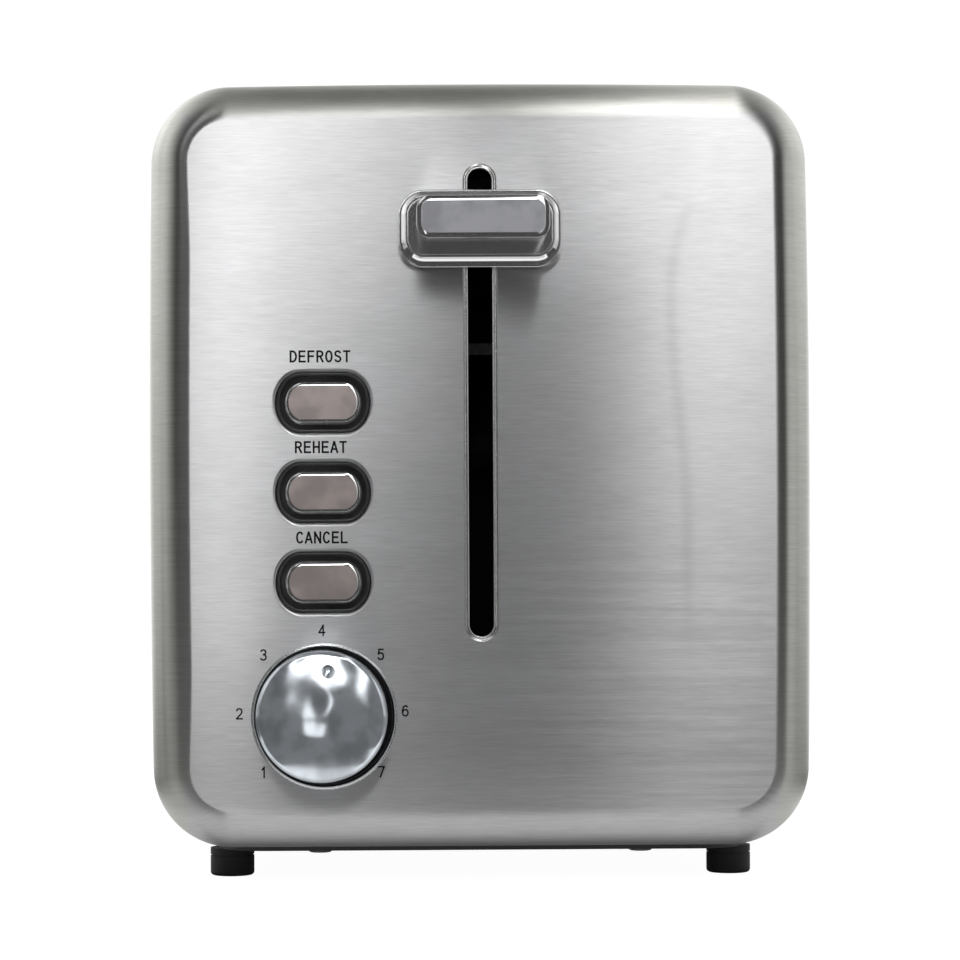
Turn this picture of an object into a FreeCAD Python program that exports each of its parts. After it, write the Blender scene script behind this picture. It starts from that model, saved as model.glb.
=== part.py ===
import FreeCAD, Part
import math
import os

os.makedirs("parts", exist_ok=True)
V = FreeCAD.Vector

# ------------------------------------------------------------------ driving dimensions (mm)
OVERALL_H = 195.0          # floor to the crown of the top
BODY_W = 162.1             # greatest width, at mid height
BODY_Z0 = 8.1              # underside of the steel body
BODY_LEN = 268.0           # front face to rear face
CORNER_R = 19.5            # rounded corners of the section
SIDE_CROWN = 0.7           # how far the sides bow out
TOP_CROWN = 0.5            # how far the top bows up
EDGE_R = 9.5               # rolled edge between the end faces and the walls
COVER_T = 0.8              # end cover sheet
COVER_DEPTH = 32.0         # how far an end cover reaches along the body
WRAP_T = 0.7               # wrap sheet
WRAP_INSET = 0.9           # wrap tucks inside the end covers

LEVER_OUT = 25.0           # lever block in front of the face
TRAY_OUT = 6.0             # crumb tray grip behind the rear face

# lever slot (opening inside its turned-in lip)
SLOT_W, SLOT_Z0, SLOT_Z1, SLOT_LIP = 5.9, 59.55, 173.25, 1.15
# lever at rest
FLANGE_W, FLANGE_H, FLANGE_R, FLANGE_Z = 39.8, 18.7, 6.4, 158.2
BLOCK_W, BLOCK_H, BLOCK_R, BLOCK_X, BLOCK_Z = 31.1, 9.5, 2.7, 0.25, 158.45
LEVER_TRAVEL = 84.0
# push buttons
BUTTON_X = -38.3
BUTTON_Z = {"defrost": 116.5, "reheat": 94.7, "cancel": 72.9}
BUTTON_W, BUTTON_H, BUTTON_END = 17.9, 9.6, 4.0      # oval: the ends are half ellipses this long
WELL_W, WELL_H, WELL_END, WELL_LIP = 22.9, 14.8, 6.1, 0.9
BUTTON_TRAVEL = 2.2
BUTTON_PROUD = 1.0
# browning knob
KNOB_X, KNOB_Z = -38.7, 40.85
KNOB_R, KNOB_OUT = 15.8, 14.0
DISH_X, DISH_Z = -38.25, 40.4      # the dish behind the knob sits a little low and to the right of the shaft
KNOB_OPEN_R, KNOB_LIP = 17.0, 0.8
# feet
FOOT_X, FOOT_R, FOOT_DEPTH = 61.9, 5.45, 23.0
# bread slots
BREAD_X, BREAD_W, BREAD_D0, BREAD_D1 = 28.0, 36.0, 74.0, 222.0
# chassis
WALL_F, WALL_R, WALL_T = 60.0, 232.0, 1.0
ROD_X, ROD_D, ROD_R = 14.0, 38.0, 2.5
RUN = 0.05                 # radial running clearance

TOTAL_LEN = LEVER_OUT + BODY_LEN + TRAY_OUT
YF = -TOTAL_LEN / 2 + LEVER_OUT      # front face of the body
YR = YF + BODY_LEN


def save(name, shape):
    shape.exportStep(os.path.join("parts", name + ".step"))


def box(x0, x1, d0, d1, z0, z1):
    """A block; d is the depth behind the front face."""
    return Part.makeBox(x1 - x0, d1 - d0, z1 - z0, V(x0, YF + d0, z0))


def cyl_y(x, z, r, d0, d1):
    return Part.makeCylinder(r, d1 - d0, V(x, YF + d0, z), V(0, 1, 0))


def cyl_z(x, d, r, z0, z1):
    return Part.makeCylinder(r, z1 - z0, V(x, YF + d, z0), V(0, 0, 1))


def cyl_x(d, z, r, x0, x1):
    return Part.makeCylinder(r, x1 - x0, V(x0, YF + d, z), V(1, 0, 0))


def both(f):
    """Left and right copies of something given by its sign."""
    return f(-1), f(1)


def fuse(shapes):
    out = shapes[0].fuse(shapes[1:]) if len(shapes) > 1 else shapes[0]
    return out.removeSplitter()


def rrect_wire(w, h, r, x, y, z):
    """A rounded rectangle in the XZ plane, centred at x, z."""
    x0, x1, z0, z1 = x - w / 2, x + w / 2, z - h / 2, z + h / 2
    k = r * (1 - math.sqrt(0.5))
    e = []
    P = lambda a, b: V(a, y, b)
    if w - 2 * r > 1e-6:
        e.append(Part.makeLine(P(x0 + r, z0), P(x1 - r, z0)))
    e.append(Part.Arc(P(x1 - r, z0), P(x1 - k, z0 + k), P(x1, z0 + r)).toShape())
    if h - 2 * r > 1e-6:
        e.append(Part.makeLine(P(x1, z0 + r), P(x1, z1 - r)))
    e.append(Part.Arc(P(x1, z1 - r), P(x1 - k, z1 - k), P(x1 - r, z1)).toShape())
    if w - 2 * r > 1e-6:
        e.append(Part.makeLine(P(x1 - r, z1), P(x0 + r, z1)))
    e.append(Part.Arc(P(x0 + r, z1), P(x0 + k, z1 - k), P(x0, z1 - r)).toShape())
    if h - 2 * r > 1e-6:
        e.append(Part.makeLine(P(x0, z1 - r), P(x0, z0 + r)))
    e.append(Part.Arc(P(x0, z0 + r), P(x0 + k, z0 + k), P(x0 + r, z0)).toShape())
    return Part.Wire(e)


def rrect(w, h, r, x, z, d0, d1):
    f = Part.Face(rrect_wire(w, h, r, x, YF + d0, z))
    return f.extrude(V(0, d1 - d0, 0))


def stadium(w, h, x, z, d0, d1):
    return rrect(w, h, min(w, h) / 2, x, z, d0, d1)


def oval(w, h, a, x, z, d0, d1):
    """Straight top and bottom, and ends that are half ellipses a long."""
    y, hw, b = YF + d0, w / 2 - a, h / 2
    c1, c2 = V(x + hw, y, z), V(x - hw, y, z)

    def end(c, s):
        # an ellipse needs its longer axis first
        if b >= a:
            el = Part.Ellipse(V(c.x, y, z + b), V(c.x + s * a, y, z), c)
        else:
            el = Part.Ellipse(V(c.x + s * a, y, z), V(c.x, y, z + b), c)
        p0, p1 = el.parameter(V(c.x, y, z - b)), el.parameter(V(c.x, y, z + b))
        m = el.parameter(V(c.x + s * a, y, z))
        for lo, hi in ((p0, p1), (p1, p0)):
            hi2 = hi if hi > lo else hi + 2 * math.pi
            if lo - 1e-9 <= m <= hi2 + 1e-9 or lo - 1e-9 <= m + 2 * math.pi <= hi2 + 1e-9:
                return el.toShape(lo, hi2)
    e = [Part.makeLine(V(x - hw, y, z - b), V(x + hw, y, z - b)), end(c1, 1),
         Part.makeLine(V(x + hw, y, z + b), V(x - hw, y, z + b)), end(c2, -1)]
    w_ = Part.Wire(Part.__sortEdges__(e))
    return Part.Face(w_).extrude(V(0, d1 - d0, 0))


def front_edges(shape, y, tol=1e-4):
    return [e for e in shape.Edges if all(abs(v.Point.y - y) < tol for v in e.Vertexes)
            and abs(e.CenterOfMass.y - y) < tol]


def outline_wire(inset, y):
    """The body's section: four gently bowed sides joined by tangent corner arcs."""
    hw = BODY_W / 2 - inset
    z0, z1 = BODY_Z0 + inset, OVERALL_H - inset
    r = CORNER_R - inset
    zm = (z0 + z1) / 2
    half_h = (z1 - z0) / 2 - r
    half_w = hw - r
    Rs = half_h ** 2 / (2 * SIDE_CROWN) + SIDE_CROWN / 2 + r
    Rt = half_w ** 2 / (2 * TOP_CROWN) + TOP_CROWN / 2 + r
    Cs = (hw - Rs, zm)                     # centre of the right side's arc
    Ct = (0.0, z1 - Rt)                    # centre of the top's arc
    # upper corner centre: Rs - r from Cs and Rt - r from Ct
    a, b = Rs - r, Rt - r
    cx, cz = hw - r - 0.3, z1 - r - 0.3
    for _ in range(60):
        f1 = (cx - Cs[0]) ** 2 + (cz - Cs[1]) ** 2 - a * a
        f2 = (cx - Ct[0]) ** 2 + (cz - Ct[1]) ** 2 - b * b
        j11, j12 = 2 * (cx - Cs[0]), 2 * (cz - Cs[1])
        j21, j22 = 2 * (cx - Ct[0]), 2 * (cz - Ct[1])
        det = j11 * j22 - j12 * j21
        dx = (f1 * j22 - f2 * j12) / det
        dz = (j11 * f2 - j21 * f1) / det
        cx, cz = cx - dx, cz - dz
    # lower corner centre: tangent to the side's arc and to the straight bottom
    lz = z0 + r
    lx = Cs[0] + math.sqrt(a * a - (lz - Cs[1]) ** 2)

    def on(c, p, R):
        n = math.hypot(p[0] - c[0], p[1] - c[1])
        return (c[0] + (p[0] - c[0]) * R / n, c[1] + (p[1] - c[1]) * R / n)

    s_up = on(Cs, (cx, cz), Rs)
    s_lo = on(Cs, (lx, lz), Rs)
    t_up = on(Ct, (cx, cz), Rt)
    mid_u = (cx + r * math.cos(math.radians(45)), cz + r * math.sin(math.radians(45)))
    mid_l = (lx + r * math.cos(math.radians(45)), lz - r * math.sin(math.radians(45)))
    P = lambda p, s=1: V(s * p[0], y, p[1])
    e = [
        Part.makeLine(V(-lx, y, z0), V(lx, y, z0)),
        Part.Arc(V(lx, y, z0), P(mid_l), P(s_lo)).toShape(),
        Part.Arc(P(s_lo), V(hw, y, zm), P(s_up)).toShape(),
        Part.Arc(P(s_up), P(mid_u), P(t_up)).toShape(),
        Part.Arc(P(t_up), V(0, y, z1), P(t_up, -1)).toShape(),
        Part.Arc(P(t_up, -1), P(mid_u, -1), P(s_up, -1)).toShape(),
        Part.Arc(P(s_up, -1), V(-hw, y, zm), P(s_lo, -1)).toShape(),
        Part.Arc(P(s_lo, -1), P(mid_l, -1), V(-lx, y, z0)).toShape(),
    ]
    return Part.Wire(e)


def section(inset, d0, d1):
    f = Part.Face(outline_wire(inset, YF + d0))
    return f.extrude(V(0, d1 - d0, 0))


def lipped(shape, cut, collar, y, lip):
    """Fuse the turned-in collar on, pierce the opening and roll its front edge."""
    s = shape.fuse(collar).removeSplitter().cut(cut)
    bb = cut.BoundBox
    edges = [e for e in front_edges(s, y)
             if e.BoundBox.XMin > bb.XMin - 0.01 and e.BoundBox.XMax < bb.XMax + 0.01
             and e.BoundBox.ZMin > bb.ZMin - 0.01 and e.BoundBox.ZMax < bb.ZMax + 0.01]
    return s.makeFillet(lip, edges)


# ------------------------------------------------------------------ end covers
def cover_blank():
    outer = section(0, 0, COVER_DEPTH)
    outer = outer.makeFillet(EDGE_R, front_edges(outer, YF))
    inner = section(COVER_T, COVER_T, COVER_DEPTH + 5)
    inner = inner.makeFillet(EDGE_R - COVER_T, front_edges(inner, YF + COVER_T))
    return outer.cut(inner)


blank = cover_blank()
slot_mid = (SLOT_Z0 + SLOT_Z1) / 2
slot_len = SLOT_Z1 - SLOT_Z0
front = lipped(blank.copy(), stadium(SLOT_W, slot_len, 0, slot_mid, -1, 6),
               stadium(SLOT_W + 1.6, slot_len + 1.6, 0, slot_mid, 0.3, 3.0), YF, SLOT_LIP)
for bz in BUTTON_Z.values():
    front = lipped(front, oval(WELL_W, WELL_H, WELL_END, BUTTON_X, bz, -1, 6),
                   oval(WELL_W + 1.6, WELL_H + 1.6, WELL_END + 0.8, BUTTON_X, bz, 0.3, 2.4), YF, WELL_LIP)
front = lipped(front, cyl_y(DISH_X, DISH_Z, KNOB_OPEN_R, -1, 6),
               cyl_y(DISH_X, DISH_Z, KNOB_OPEN_R + 0.8, 0.3, 2.4), YF, KNOB_LIP)
save("front_cover", front)

rear = blank.mirror(V(0, YF + BODY_LEN / 2, 0), V(0, 1, 0))
TRAY_W = 50.0              # half width of the tray grip
cuts = [box(-TRAY_W - 1.5, TRAY_W + 1.5, BODY_LEN - 12, BODY_LEN + 1, 9.9, 19.6)]
GLAND_X, GLAND_Z = 48.0, 38.0
cuts.append(cyl_y(GLAND_X, GLAND_Z, 7.05, BODY_LEN - 6, BODY_LEN + 1))
for i in range(9):         # upright cooling slots
    cuts.append(stadium(3.0, 34.0, -32 + 8 * i, 120.0, BODY_LEN - 6, BODY_LEN + 1))
for s in cuts:
    rear = rear.cut(s)
for x, z in ((-55, 60), (55, 60), (-55, 165), (55, 165)):
    rear = rear.cut(cyl_y(x, z, 1.9, BODY_LEN - 6, BODY_LEN + 1))
save("rear_cover", rear)

# ------------------------------------------------------------------ wrap and bread slots
WD0, WD1 = COVER_DEPTH - 5, BODY_LEN - COVER_DEPTH + 5
wrap = section(WRAP_INSET, WD0, WD1).cut(section(WRAP_INSET + WRAP_T, WD0 - 1, WD1 + 1))
wrap = wrap.cut(box(-55, 55, WD0 - 1, WD1 + 1, 5, 30))
bread_mid = (BREAD_D0 + BREAD_D1) / 2
bread_len = BREAD_D1 - BREAD_D0


def plan_rrect(x, d, w, l, r, z0, z1):
    """A rounded rectangle seen from above, w across and l along the body."""
    b = box(x - w / 2, x + w / 2, d - l / 2, d + l / 2, z0, z1)
    ed = [e for e in b.Edges if abs(e.Vertexes[0].X - e.Vertexes[1].X) < 1e-6
          and abs(e.Vertexes[0].Y - e.Vertexes[1].Y) < 1e-6]
    return b.makeFillet(r, ed)


for s in (-1, 1):
    wrap = wrap.cut(plan_rrect(s * BREAD_X, bread_mid, BREAD_W + 3.0, bread_len + 3.0, 5.5, 180, 200))
save("outer_wrap", wrap)

for s, side in ((-1, "left"), (1, "right")):
    rim = plan_rrect(s * BREAD_X, bread_mid, BREAD_W + 7.0, bread_len + 7.0, 7.5, 194.1, 195.0)
    top = [e for e in rim.Edges if abs(e.BoundBox.ZMin - 195.0) < 1e-4 and abs(e.BoundBox.ZMax - 195.0) < 1e-4]
    rim = rim.makeFillet(0.6, top)
    neck = plan_rrect(s * BREAD_X, bread_mid, BREAD_W + 2.6, bread_len + 2.6, 5.3, 184.0, 194.3)
    trim = fuse([rim, neck]).cut(plan_rrect(s * BREAD_X, bread_mid, BREAD_W, bread_len, 4.0, 180, 200))
    save("slot_trim_" + side, trim)

# ------------------------------------------------------------------ base plate, feet, screws
base = plan_rrect(0, BODY_LEN / 2, 130.0, BODY_LEN - 22.0, 12.0, 6.9, 8.05)
plateau = plan_rrect(0, BODY_LEN / 2, 108.0, BODY_LEN - 2 * COVER_DEPTH - 4, 4.0, 8.0, 10.0)
base = fuse([base, plateau])
for k in (-1, 1):
    for i in range(10):
        base = base.cut(box(k * 26 - 17, k * 26 + 17, 70 + 14 * i, 74 + 14 * i, 6, 11))
FEET = [(sx * FOOT_X, d) for sx in (-1, 1) for d in (FOOT_DEPTH, BODY_LEN - FOOT_DEPTH)]
SCREWS = [(sx * 40.0, d) for sx in (-1, 1) for d in (24.0, BODY_LEN - 24.0)]
for x, d in FEET:
    base = base.cut(cyl_z(x, d, 2.5, 6, 9))
for x, d in SCREWS:
    base = base.cut(cyl_z(x, d, 1.7, 6, 9))
save("base_plate", base)

feet = []
for x, d in FEET:
    f = cyl_z(x, d, FOOT_R, 0, 6.9)
    low = [e for e in f.Edges if abs(e.BoundBox.ZMin) < 1e-4 and abs(e.BoundBox.ZMax) < 1e-4]
    f = f.makeFillet(0.9, low)
    f = f.fuse(cyl_z(x, d, 2.45, 6.5, 8.05)).removeSplitter()
    feet.append(f)
save("feet", Part.makeCompound(feet))

screws = []
for x, d in SCREWS:
    head = cyl_z(x, d, 3.0, 5.4, 6.9)
    head = head.makeFillet(0.7, [e for e in head.Edges if abs(e.BoundBox.ZMax - 5.4) < 1e-4])
    s = head.fuse(cyl_z(x, d, 1.6, 6.5, 8.05)).removeSplitter()
    s = s.cut(box(x - 2.0, x + 2.0, d - 0.35, d + 0.35, 5.3, 6.2)).cut(box(x - 0.35, x + 0.35, d - 2.0, d + 2.0, 5.3, 6.2))
    screws.append(s)
save("base_screws", Part.makeCompound(screws))

rs = []
for x, z in ((-55, 60), (55, 60), (-55, 165), (55, 165)):
    head = cyl_y(x, z, 3.1, BODY_LEN, BODY_LEN + 1.6)
    head = head.makeFillet(0.8, [e for e in head.Edges if abs(e.BoundBox.YMin - (YR + 1.6)) < 1e-4 or abs(e.BoundBox.YMax - e.BoundBox.YMin) < 1e-6 and abs(e.BoundBox.YMin - (YR + 1.6)) < 1e-3])
    s = head.fuse(cyl_y(x, z, 1.8, BODY_LEN - 9, BODY_LEN + 0.5)).removeSplitter()
    s = s.cut(box(x - 2.0, x + 2.0, BODY_LEN + 0.8, BODY_LEN + 2, z - 0.35, z + 0.35)).cut(box(x - 0.35, x + 0.35, BODY_LEN + 0.8, BODY_LEN + 2, z - 2.0, z + 2.0))
    rs.append(s)
save("rear_screws", Part.makeCompound(rs))

# ------------------------------------------------------------------ cord gland
gland = cyl_y(GLAND_X, GLAND_Z, 9.5, BODY_LEN, BODY_LEN + 2.2)
gland = gland.makeFillet(1.2, [e for e in gland.Edges if abs(e.CenterOfMass.y - (YR + 2.2)) < 1e-3 and abs(e.BoundBox.YMax - e.BoundBox.YMin) < 1e-6])
gland = fuse([gland, cyl_y(GLAND_X, GLAND_Z, 7.0, BODY_LEN - 4.0, BODY_LEN + 1)])
gland = gland.fuse(cyl_y(GLAND_X, GLAND_Z, 8.6, BODY_LEN - 4.0, BODY_LEN - 1.2)).removeSplitter()
gland = gland.cut(cyl_y(GLAND_X, GLAND_Z, 3.6, BODY_LEN - 20, BODY_LEN + 10))
save("cord_gland", gland)

# ------------------------------------------------------------------ black parts behind the face
bez = rrect(30.0, 66.0, 4.0, BUTTON_X, 94.7, 3.2, 5.2)
for bz in BUTTON_Z.values():
    boss = oval(WELL_W - 0.1, WELL_H - 0.1, WELL_END - 0.05, BUTTON_X, bz, 0.75, 3.4)
    bez = bez.fuse(boss)
bez = bez.removeSplitter()
for bz in BUTTON_Z.values():
    bez = bez.cut(oval(WELL_W - 1.9, WELL_H - 1.9, WELL_END - 0.95, BUTTON_X, bz, -1, 3.9))
    bez = bez.cut(oval(BUTTON_W + 0.7, BUTTON_H + 0.7, BUTTON_END + 0.35, BUTTON_X, bz, -1, 8))
edges = []
for e in front_edges(bez, YF + 0.75):
    edges.append(e)
bez = bez.makeFillet(0.35, edges)
save("button_bezel", bez)

dish = cyl_y(DISH_X, DISH_Z, KNOB_OPEN_R - 0.05, 1.0, 2.8)
dish = dish.fuse(cyl_y(DISH_X, DISH_Z, KNOB_OPEN_R + 3.0, 2.6, 5.0)).removeSplitter()
dish = dish.cut(cyl_y(DISH_X, DISH_Z, KNOB_OPEN_R - 0.8, -1, 3.6))
dish = dish.cut(cyl_y(KNOB_X, KNOB_Z, 4.6, -1, 8))
save("knob_bezel", dish)

liner = stadium(SLOT_W + 7.0, slot_len + 7.0, 0, slot_mid, 3.2, 16.0)
liner = liner.cut(stadium(SLOT_W + 2.2, slot_len + 2.2, 0, slot_mid, 2, 18))
liner = liner.fuse(stadium(SLOT_W + 14.0, slot_len + 12.0, 0, slot_mid, 3.2, 4.6).cut(
    stadium(SLOT_W + 2.2, slot_len + 2.2, 0, slot_mid, 2, 18))).removeSplitter()
save("slot_liner", liner)

# ------------------------------------------------------------------ push buttons
for name, bz in BUTTON_Z.items():
    b = oval(BUTTON_W, BUTTON_H, BUTTON_END, BUTTON_X, bz, -BUTTON_PROUD, 5.5)
    b = b.makeFillet(0.65, front_edges(b, YF - BUTTON_PROUD))
    fl = oval(BUTTON_W + 2.6, BUTTON_H + 2.6, BUTTON_END + 1.3, BUTTON_X, bz, 5.5, 7.0)
    stem = box(BUTTON_X - 3, BUTTON_X + 3, 7.0, 12.5, bz - 1.5, bz + 1.5)
    plunger = cyl_y(BUTTON_X, bz, 1.6, 12.5, 17.0)
    save("button_" + name, fuse([b, fl, stem, plunger]))

# ------------------------------------------------------------------ browning knob
# revolved about its own axis, then dished for the pointer
RIM = 1.6                  # rounded rim of the knob's face
SLOPE = math.radians(18)   # how far the crown has turned where it meets the rim
rim_y = -KNOB_OUT + (KNOB_R - RIM + RIM * math.sin(SLOPE)) * math.tan(SLOPE / 2) + RIM * math.cos(SLOPE)
pts = [(0, 3.2), (4.0, 3.2), (4.0, -11.0), (14.2, -9.6), (14.2, 0.3), (KNOB_R, 0.3), (KNOB_R, rim_y)]
prof = []
for a, b in zip(pts, pts[1:]):
    prof.append(Part.makeLine(V(a[0], a[1], 0), V(b[0], b[1], 0)))
rc = V(KNOB_R - RIM, rim_y, 0)
dome_t = math.pi / 2 - SLOPE
rim_mid, rim_end = [V(rc.x + RIM * math.cos(t), rc.y - RIM * math.sin(t), 0) for t in (dome_t / 2, dome_t)]
prof.append(Part.Arc(V(KNOB_R, rc.y, 0), rim_mid, rim_end).toShape())
# the dome's own radius, from its crown to the rim's end
sag = rim_end.y + KNOB_OUT
dome_r = (rim_end.x ** 2 + sag ** 2) / (2 * sag)
th = math.asin(rim_end.x / dome_r) / 2
prof.append(Part.Arc(rim_end, V(dome_r * math.sin(th), -KNOB_OUT + dome_r * (1 - math.cos(th)), 0), V(0, -KNOB_OUT, 0)).toShape())
print("knob rim ends at", rim_end.x, rim_end.y, "dome radius", dome_r)
prof.append(Part.makeLine(V(0, -KNOB_OUT, 0), V(0, 3.2, 0)))
knob = Part.Face(Part.Wire(prof)).revolve(V(0, 0, 0), V(0, 1, 0), 360)
if knob.Volume < 0:
    knob.reverse()
knob = knob.cut(Part.makeCylinder(3.0, 16.0, V(0, -9.0, 0), V(0, 1, 0)))
DIMPLE_ANG, DIMPLE_AT = math.radians(9.0), 11.0       # clockwise from the top, and out from the centre
dx, dz = DIMPLE_AT * math.sin(DIMPLE_ANG), DIMPLE_AT * math.cos(DIMPLE_ANG)
knob = knob.cut(Part.makeSphere(2.35, V(dx, -KNOB_OUT - 0.43, dz)))
knob.translate(V(KNOB_X, YF, KNOB_Z))
save("browning_knob", knob)
shaft = cyl_y(KNOB_X, KNOB_Z, 2.97, -8.8, 20.0)
save("potentiometer_shaft", shaft)

# ------------------------------------------------------------------ lever
rimd, floor_d, back_d = -3.8, -2.0, -0.5
fl = rrect(FLANGE_W, FLANGE_H, FLANGE_R, 0, FLANGE_Z, rimd, back_d)
fl = fl.makeFillet(1.5, front_edges(fl, YF + rimd))
well = rrect(FLANGE_W - 5.2, FLANGE_H - 5.5, FLANGE_R - 2.4, 0, FLANGE_Z + 0.3, rimd - 1, floor_d)
fl = fl.cut(well)
fl = fl.makeFillet(0.6, [e for e in front_edges(fl, YF + rimd)])
save("lever_flange", fl)
blk = rrect(BLOCK_W, BLOCK_H, BLOCK_R, BLOCK_X, BLOCK_Z, -LEVER_OUT, floor_d)
blk = blk.makeFillet(0.9, front_edges(blk, YF - LEVER_OUT))
save("lever_handle", blk)

stem = fuse([box(-1.7, 1.7, back_d, 44.0, 150.5, 166.0), box(-8, 8, 42.8, 44.0, 146.0, 168.0)])
save("lever_stem", stem)

# ------------------------------------------------------------------ carriage
PL0, PL1 = 44.0, 45.2
plate = box(-34, 34, PL0, PL1, 106, 168)
plate = plate.cut(rrect(20, 24, 4, 0, 122, PL0 - 1, PL1 + 1))
plate = plate.makeFillet(3.0, [e for e in plate.Edges if e.Length < 1.3 and abs(abs(e.CenterOfMass.x) - 34) < 0.1])
save("carriage_plate", plate)
bushes = []
for sx in (-1, 1):
    for z0, z1 in ((108, 120), (150, 162)):
        b = cyl_z(sx * ROD_X, ROD_D, 5.0, z0, z1).fuse(box(sx * ROD_X - 4, sx * ROD_X + 4, ROD_D, PL0, z0, z1)).removeSplitter()
        b = b.cut(cyl_z(sx * ROD_X, ROD_D, ROD_R + RUN, z0 - 1, z1 + 1))
        bushes.append(b)
save("carriage_bushes", Part.makeCompound(bushes))
for s, side in ((-1, "left"), (1, "right")):
    x = s * BREAD_X
    parts = [box(x - 0.6, x + 0.6, PL1, 239.0, 109, 118), box(x - 5, x + 5, PL1, PL1 + 1.2, 107, 122)]
    for i in range(7):
        d = 78 + 23.5 * i
        parts.append(box(x - 9, x + 9, d, d + 3.0, 117.0, 118.2))
        parts.append(box(x - 9, x - 7.8, d, d + 3.0, 117.0, 120.4))
        parts.append(box(x + 7.8, x + 9, d, d + 3.0, 117.0, 120.4))
    save("bread_rack_" + side, fuse(parts))
arm = box(-9, 9, PL1, 58.0, 131.0, 132.6)
arm = arm.fuse(box(-9, 9, PL1, PL1 + 1.4, 132.6, 140.0)).removeSplitter()
save("armature_plate", arm)

# ------------------------------------------------------------------ guide rods, brackets, springs, stops
rods = [cyl_z(sx * ROD_X, ROD_D, ROD_R, 12.2, 183.0) for sx in (-1, 1)]
save("guide_rods", Part.makeCompound(rods))


def rod_bracket(z0, z1, dmin):
    b = box(-22, 22, dmin, WALL_F, z0, z1)
    b = b.cut(box(-6, 6, dmin - 1, 43.0, z0 - 1, z1 + 1))
    for sx in (-1, 1):
        b = b.cut(cyl_z(sx * ROD_X, ROD_D, ROD_R + 0.02, z0 - 1, z1 + 1))
    return b


bt = rod_bracket(178.0, 179.4, 31.0).fuse(box(-22, 22, WALL_F - 1.4, WALL_F, 170.0, 178.2)).removeSplitter()
save("rod_bracket_top", bt)
bb_ = rod_bracket(13.0, 14.4, 31.0).fuse(box(-22, 22, WALL_F - 1.4, WALL_F, 14.2, 24.0)).removeSplitter()
save("rod_bracket_bottom", bb_)
for s, side in ((-1, "left"), (1, "right")):
    sp = cyl_z(s * ROD_X, ROD_D, 4.5, 14.6, 107.9).cut(cyl_z(s * ROD_X, ROD_D, 3.4, 10, 120))
    save("return_spring_" + side, sp)
stops = [cyl_z(sx * ROD_X, ROD_D, 5.2, 162.4, 166.4).cut(cyl_z(sx * ROD_X, ROD_D, ROD_R + 0.02, 160, 170)) for sx in (-1, 1)]
save("carriage_stops", Part.makeCompound(stops))

# ------------------------------------------------------------------ holding magnet
MAG_D = 51.9
core = cyl_z(0, MAG_D, 3.2, 14.4, 46.4)
save("magnet_core", core)
coil = cyl_z(0, MAG_D, 5.4, 16.0, 43.5)
coil = fuse([coil, cyl_z(0, MAG_D, 6.0, 15.0, 16.4), cyl_z(0, MAG_D, 6.0, 43.0, 44.4)]).cut(cyl_z(0, MAG_D, 3.25, 10, 50))
save("magnet_coil", coil)

# ------------------------------------------------------------------ chassis walls
def chassis_wall(d):
    w = section(2.2, d, d + WALL_T)
    w = w.cut(box(-100, 100, d - 1, d + 2, 0, 11.0))
    w = w.fuse(box(-53, 53, d, d + WALL_T, 10.0, 11.5)).removeSplitter()
    for s in (-1, 1):
        w = w.cut(rrect(4.4, 102.0, 2.2, s * BREAD_X, 71.5, d - 1, d + 2))
        for x in (7.0, 49.0):
            w = w.cut(cyl_y(s * x, 26.0, 1.0 + 0.06, d - 1, d + 2))
    return w


wf = chassis_wall(WALL_F)
wf = wf.cut(rrect(14, 24, 3, 54, 150, WALL_F - 1, WALL_F + 2)).cut(rrect(14, 24, 3, -54, 150, WALL_F - 1, WALL_F + 2))
save("chassis_front", wf)
wr = chassis_wall(WALL_R).cut(box(-TRAY_W - 1.2, TRAY_W + 1.2, WALL_R - 1, WALL_R + 2, 9, 19.6))
save("chassis_rear", wr)

# ------------------------------------------------------------------ heat reflectors and heater cards
for s, side in ((-1, "left"), (1, "right")):
    x0, x1 = sorted((s * 64.0, s * 64.6))
    r = box(x0, x1, WALL_F + WALL_T + 0.1, WALL_R - 0.1, 24.0, 178.0)
    xa, xb = sorted((s * 59.5, s * 64.6))
    r = r.fuse(box(xa, xb, WALL_F + WALL_T + 0.1, WALL_R - 0.1, 177.4, 178.0)).fuse(box(xa, xb, WALL_F + WALL_T + 0.1, WALL_R - 0.1, 24.0, 24.6)).removeSplitter()
    save("side_reflector_" + side, r)

CD0, CD1 = 64.0, 229.0
for x, side in ((-57.0, "left"), (0.0, "center"), (57.0, "right")):
    card = box(x - 0.5, x + 0.5, CD0, CD1, 31.0, 168.0)
    card = card.fuse(box(x - 0.5, x + 0.5, WALL_F + WALL_T + 0.05, CD0, 43, 50.5)).fuse(box(x - 0.5, x + 0.5, WALL_F + WALL_T + 0.05, CD0, 139.5, 146.5))
    card = card.fuse(box(x - 0.5, x + 0.5, CD1, WALL_R - 0.05, 43, 50.5)).fuse(box(x - 0.5, x + 0.5, CD1, WALL_R - 0.05, 139.5, 146.5)).removeSplitter()
    save("heater_card_" + side, card)
    rib = []
    zs = [40 + 12.0 * i for i in range(11)]
    for z in zs:
        outer = box(x - 0.75, x + 0.75, CD0 - 0.3, CD1 + 0.3, z, z + 1.6)
        rib.append(outer.cut(box(x - 0.5, x + 0.5, CD0 - 0.05, CD1 + 0.05, z - 1, z + 3)))
    for i, z in enumerate(zs[:-1]):
        d = CD1 - 6 if i % 2 else CD0 + 4.4
        rib.append(box(x + 0.5, x + 0.75, d, d + 1.6, z + 1.0, z + 12.6))
    ribbon = rib[0].fuse(rib[1:]).removeSplitter()
    save("heating_ribbon_" + side, ribbon)

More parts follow.
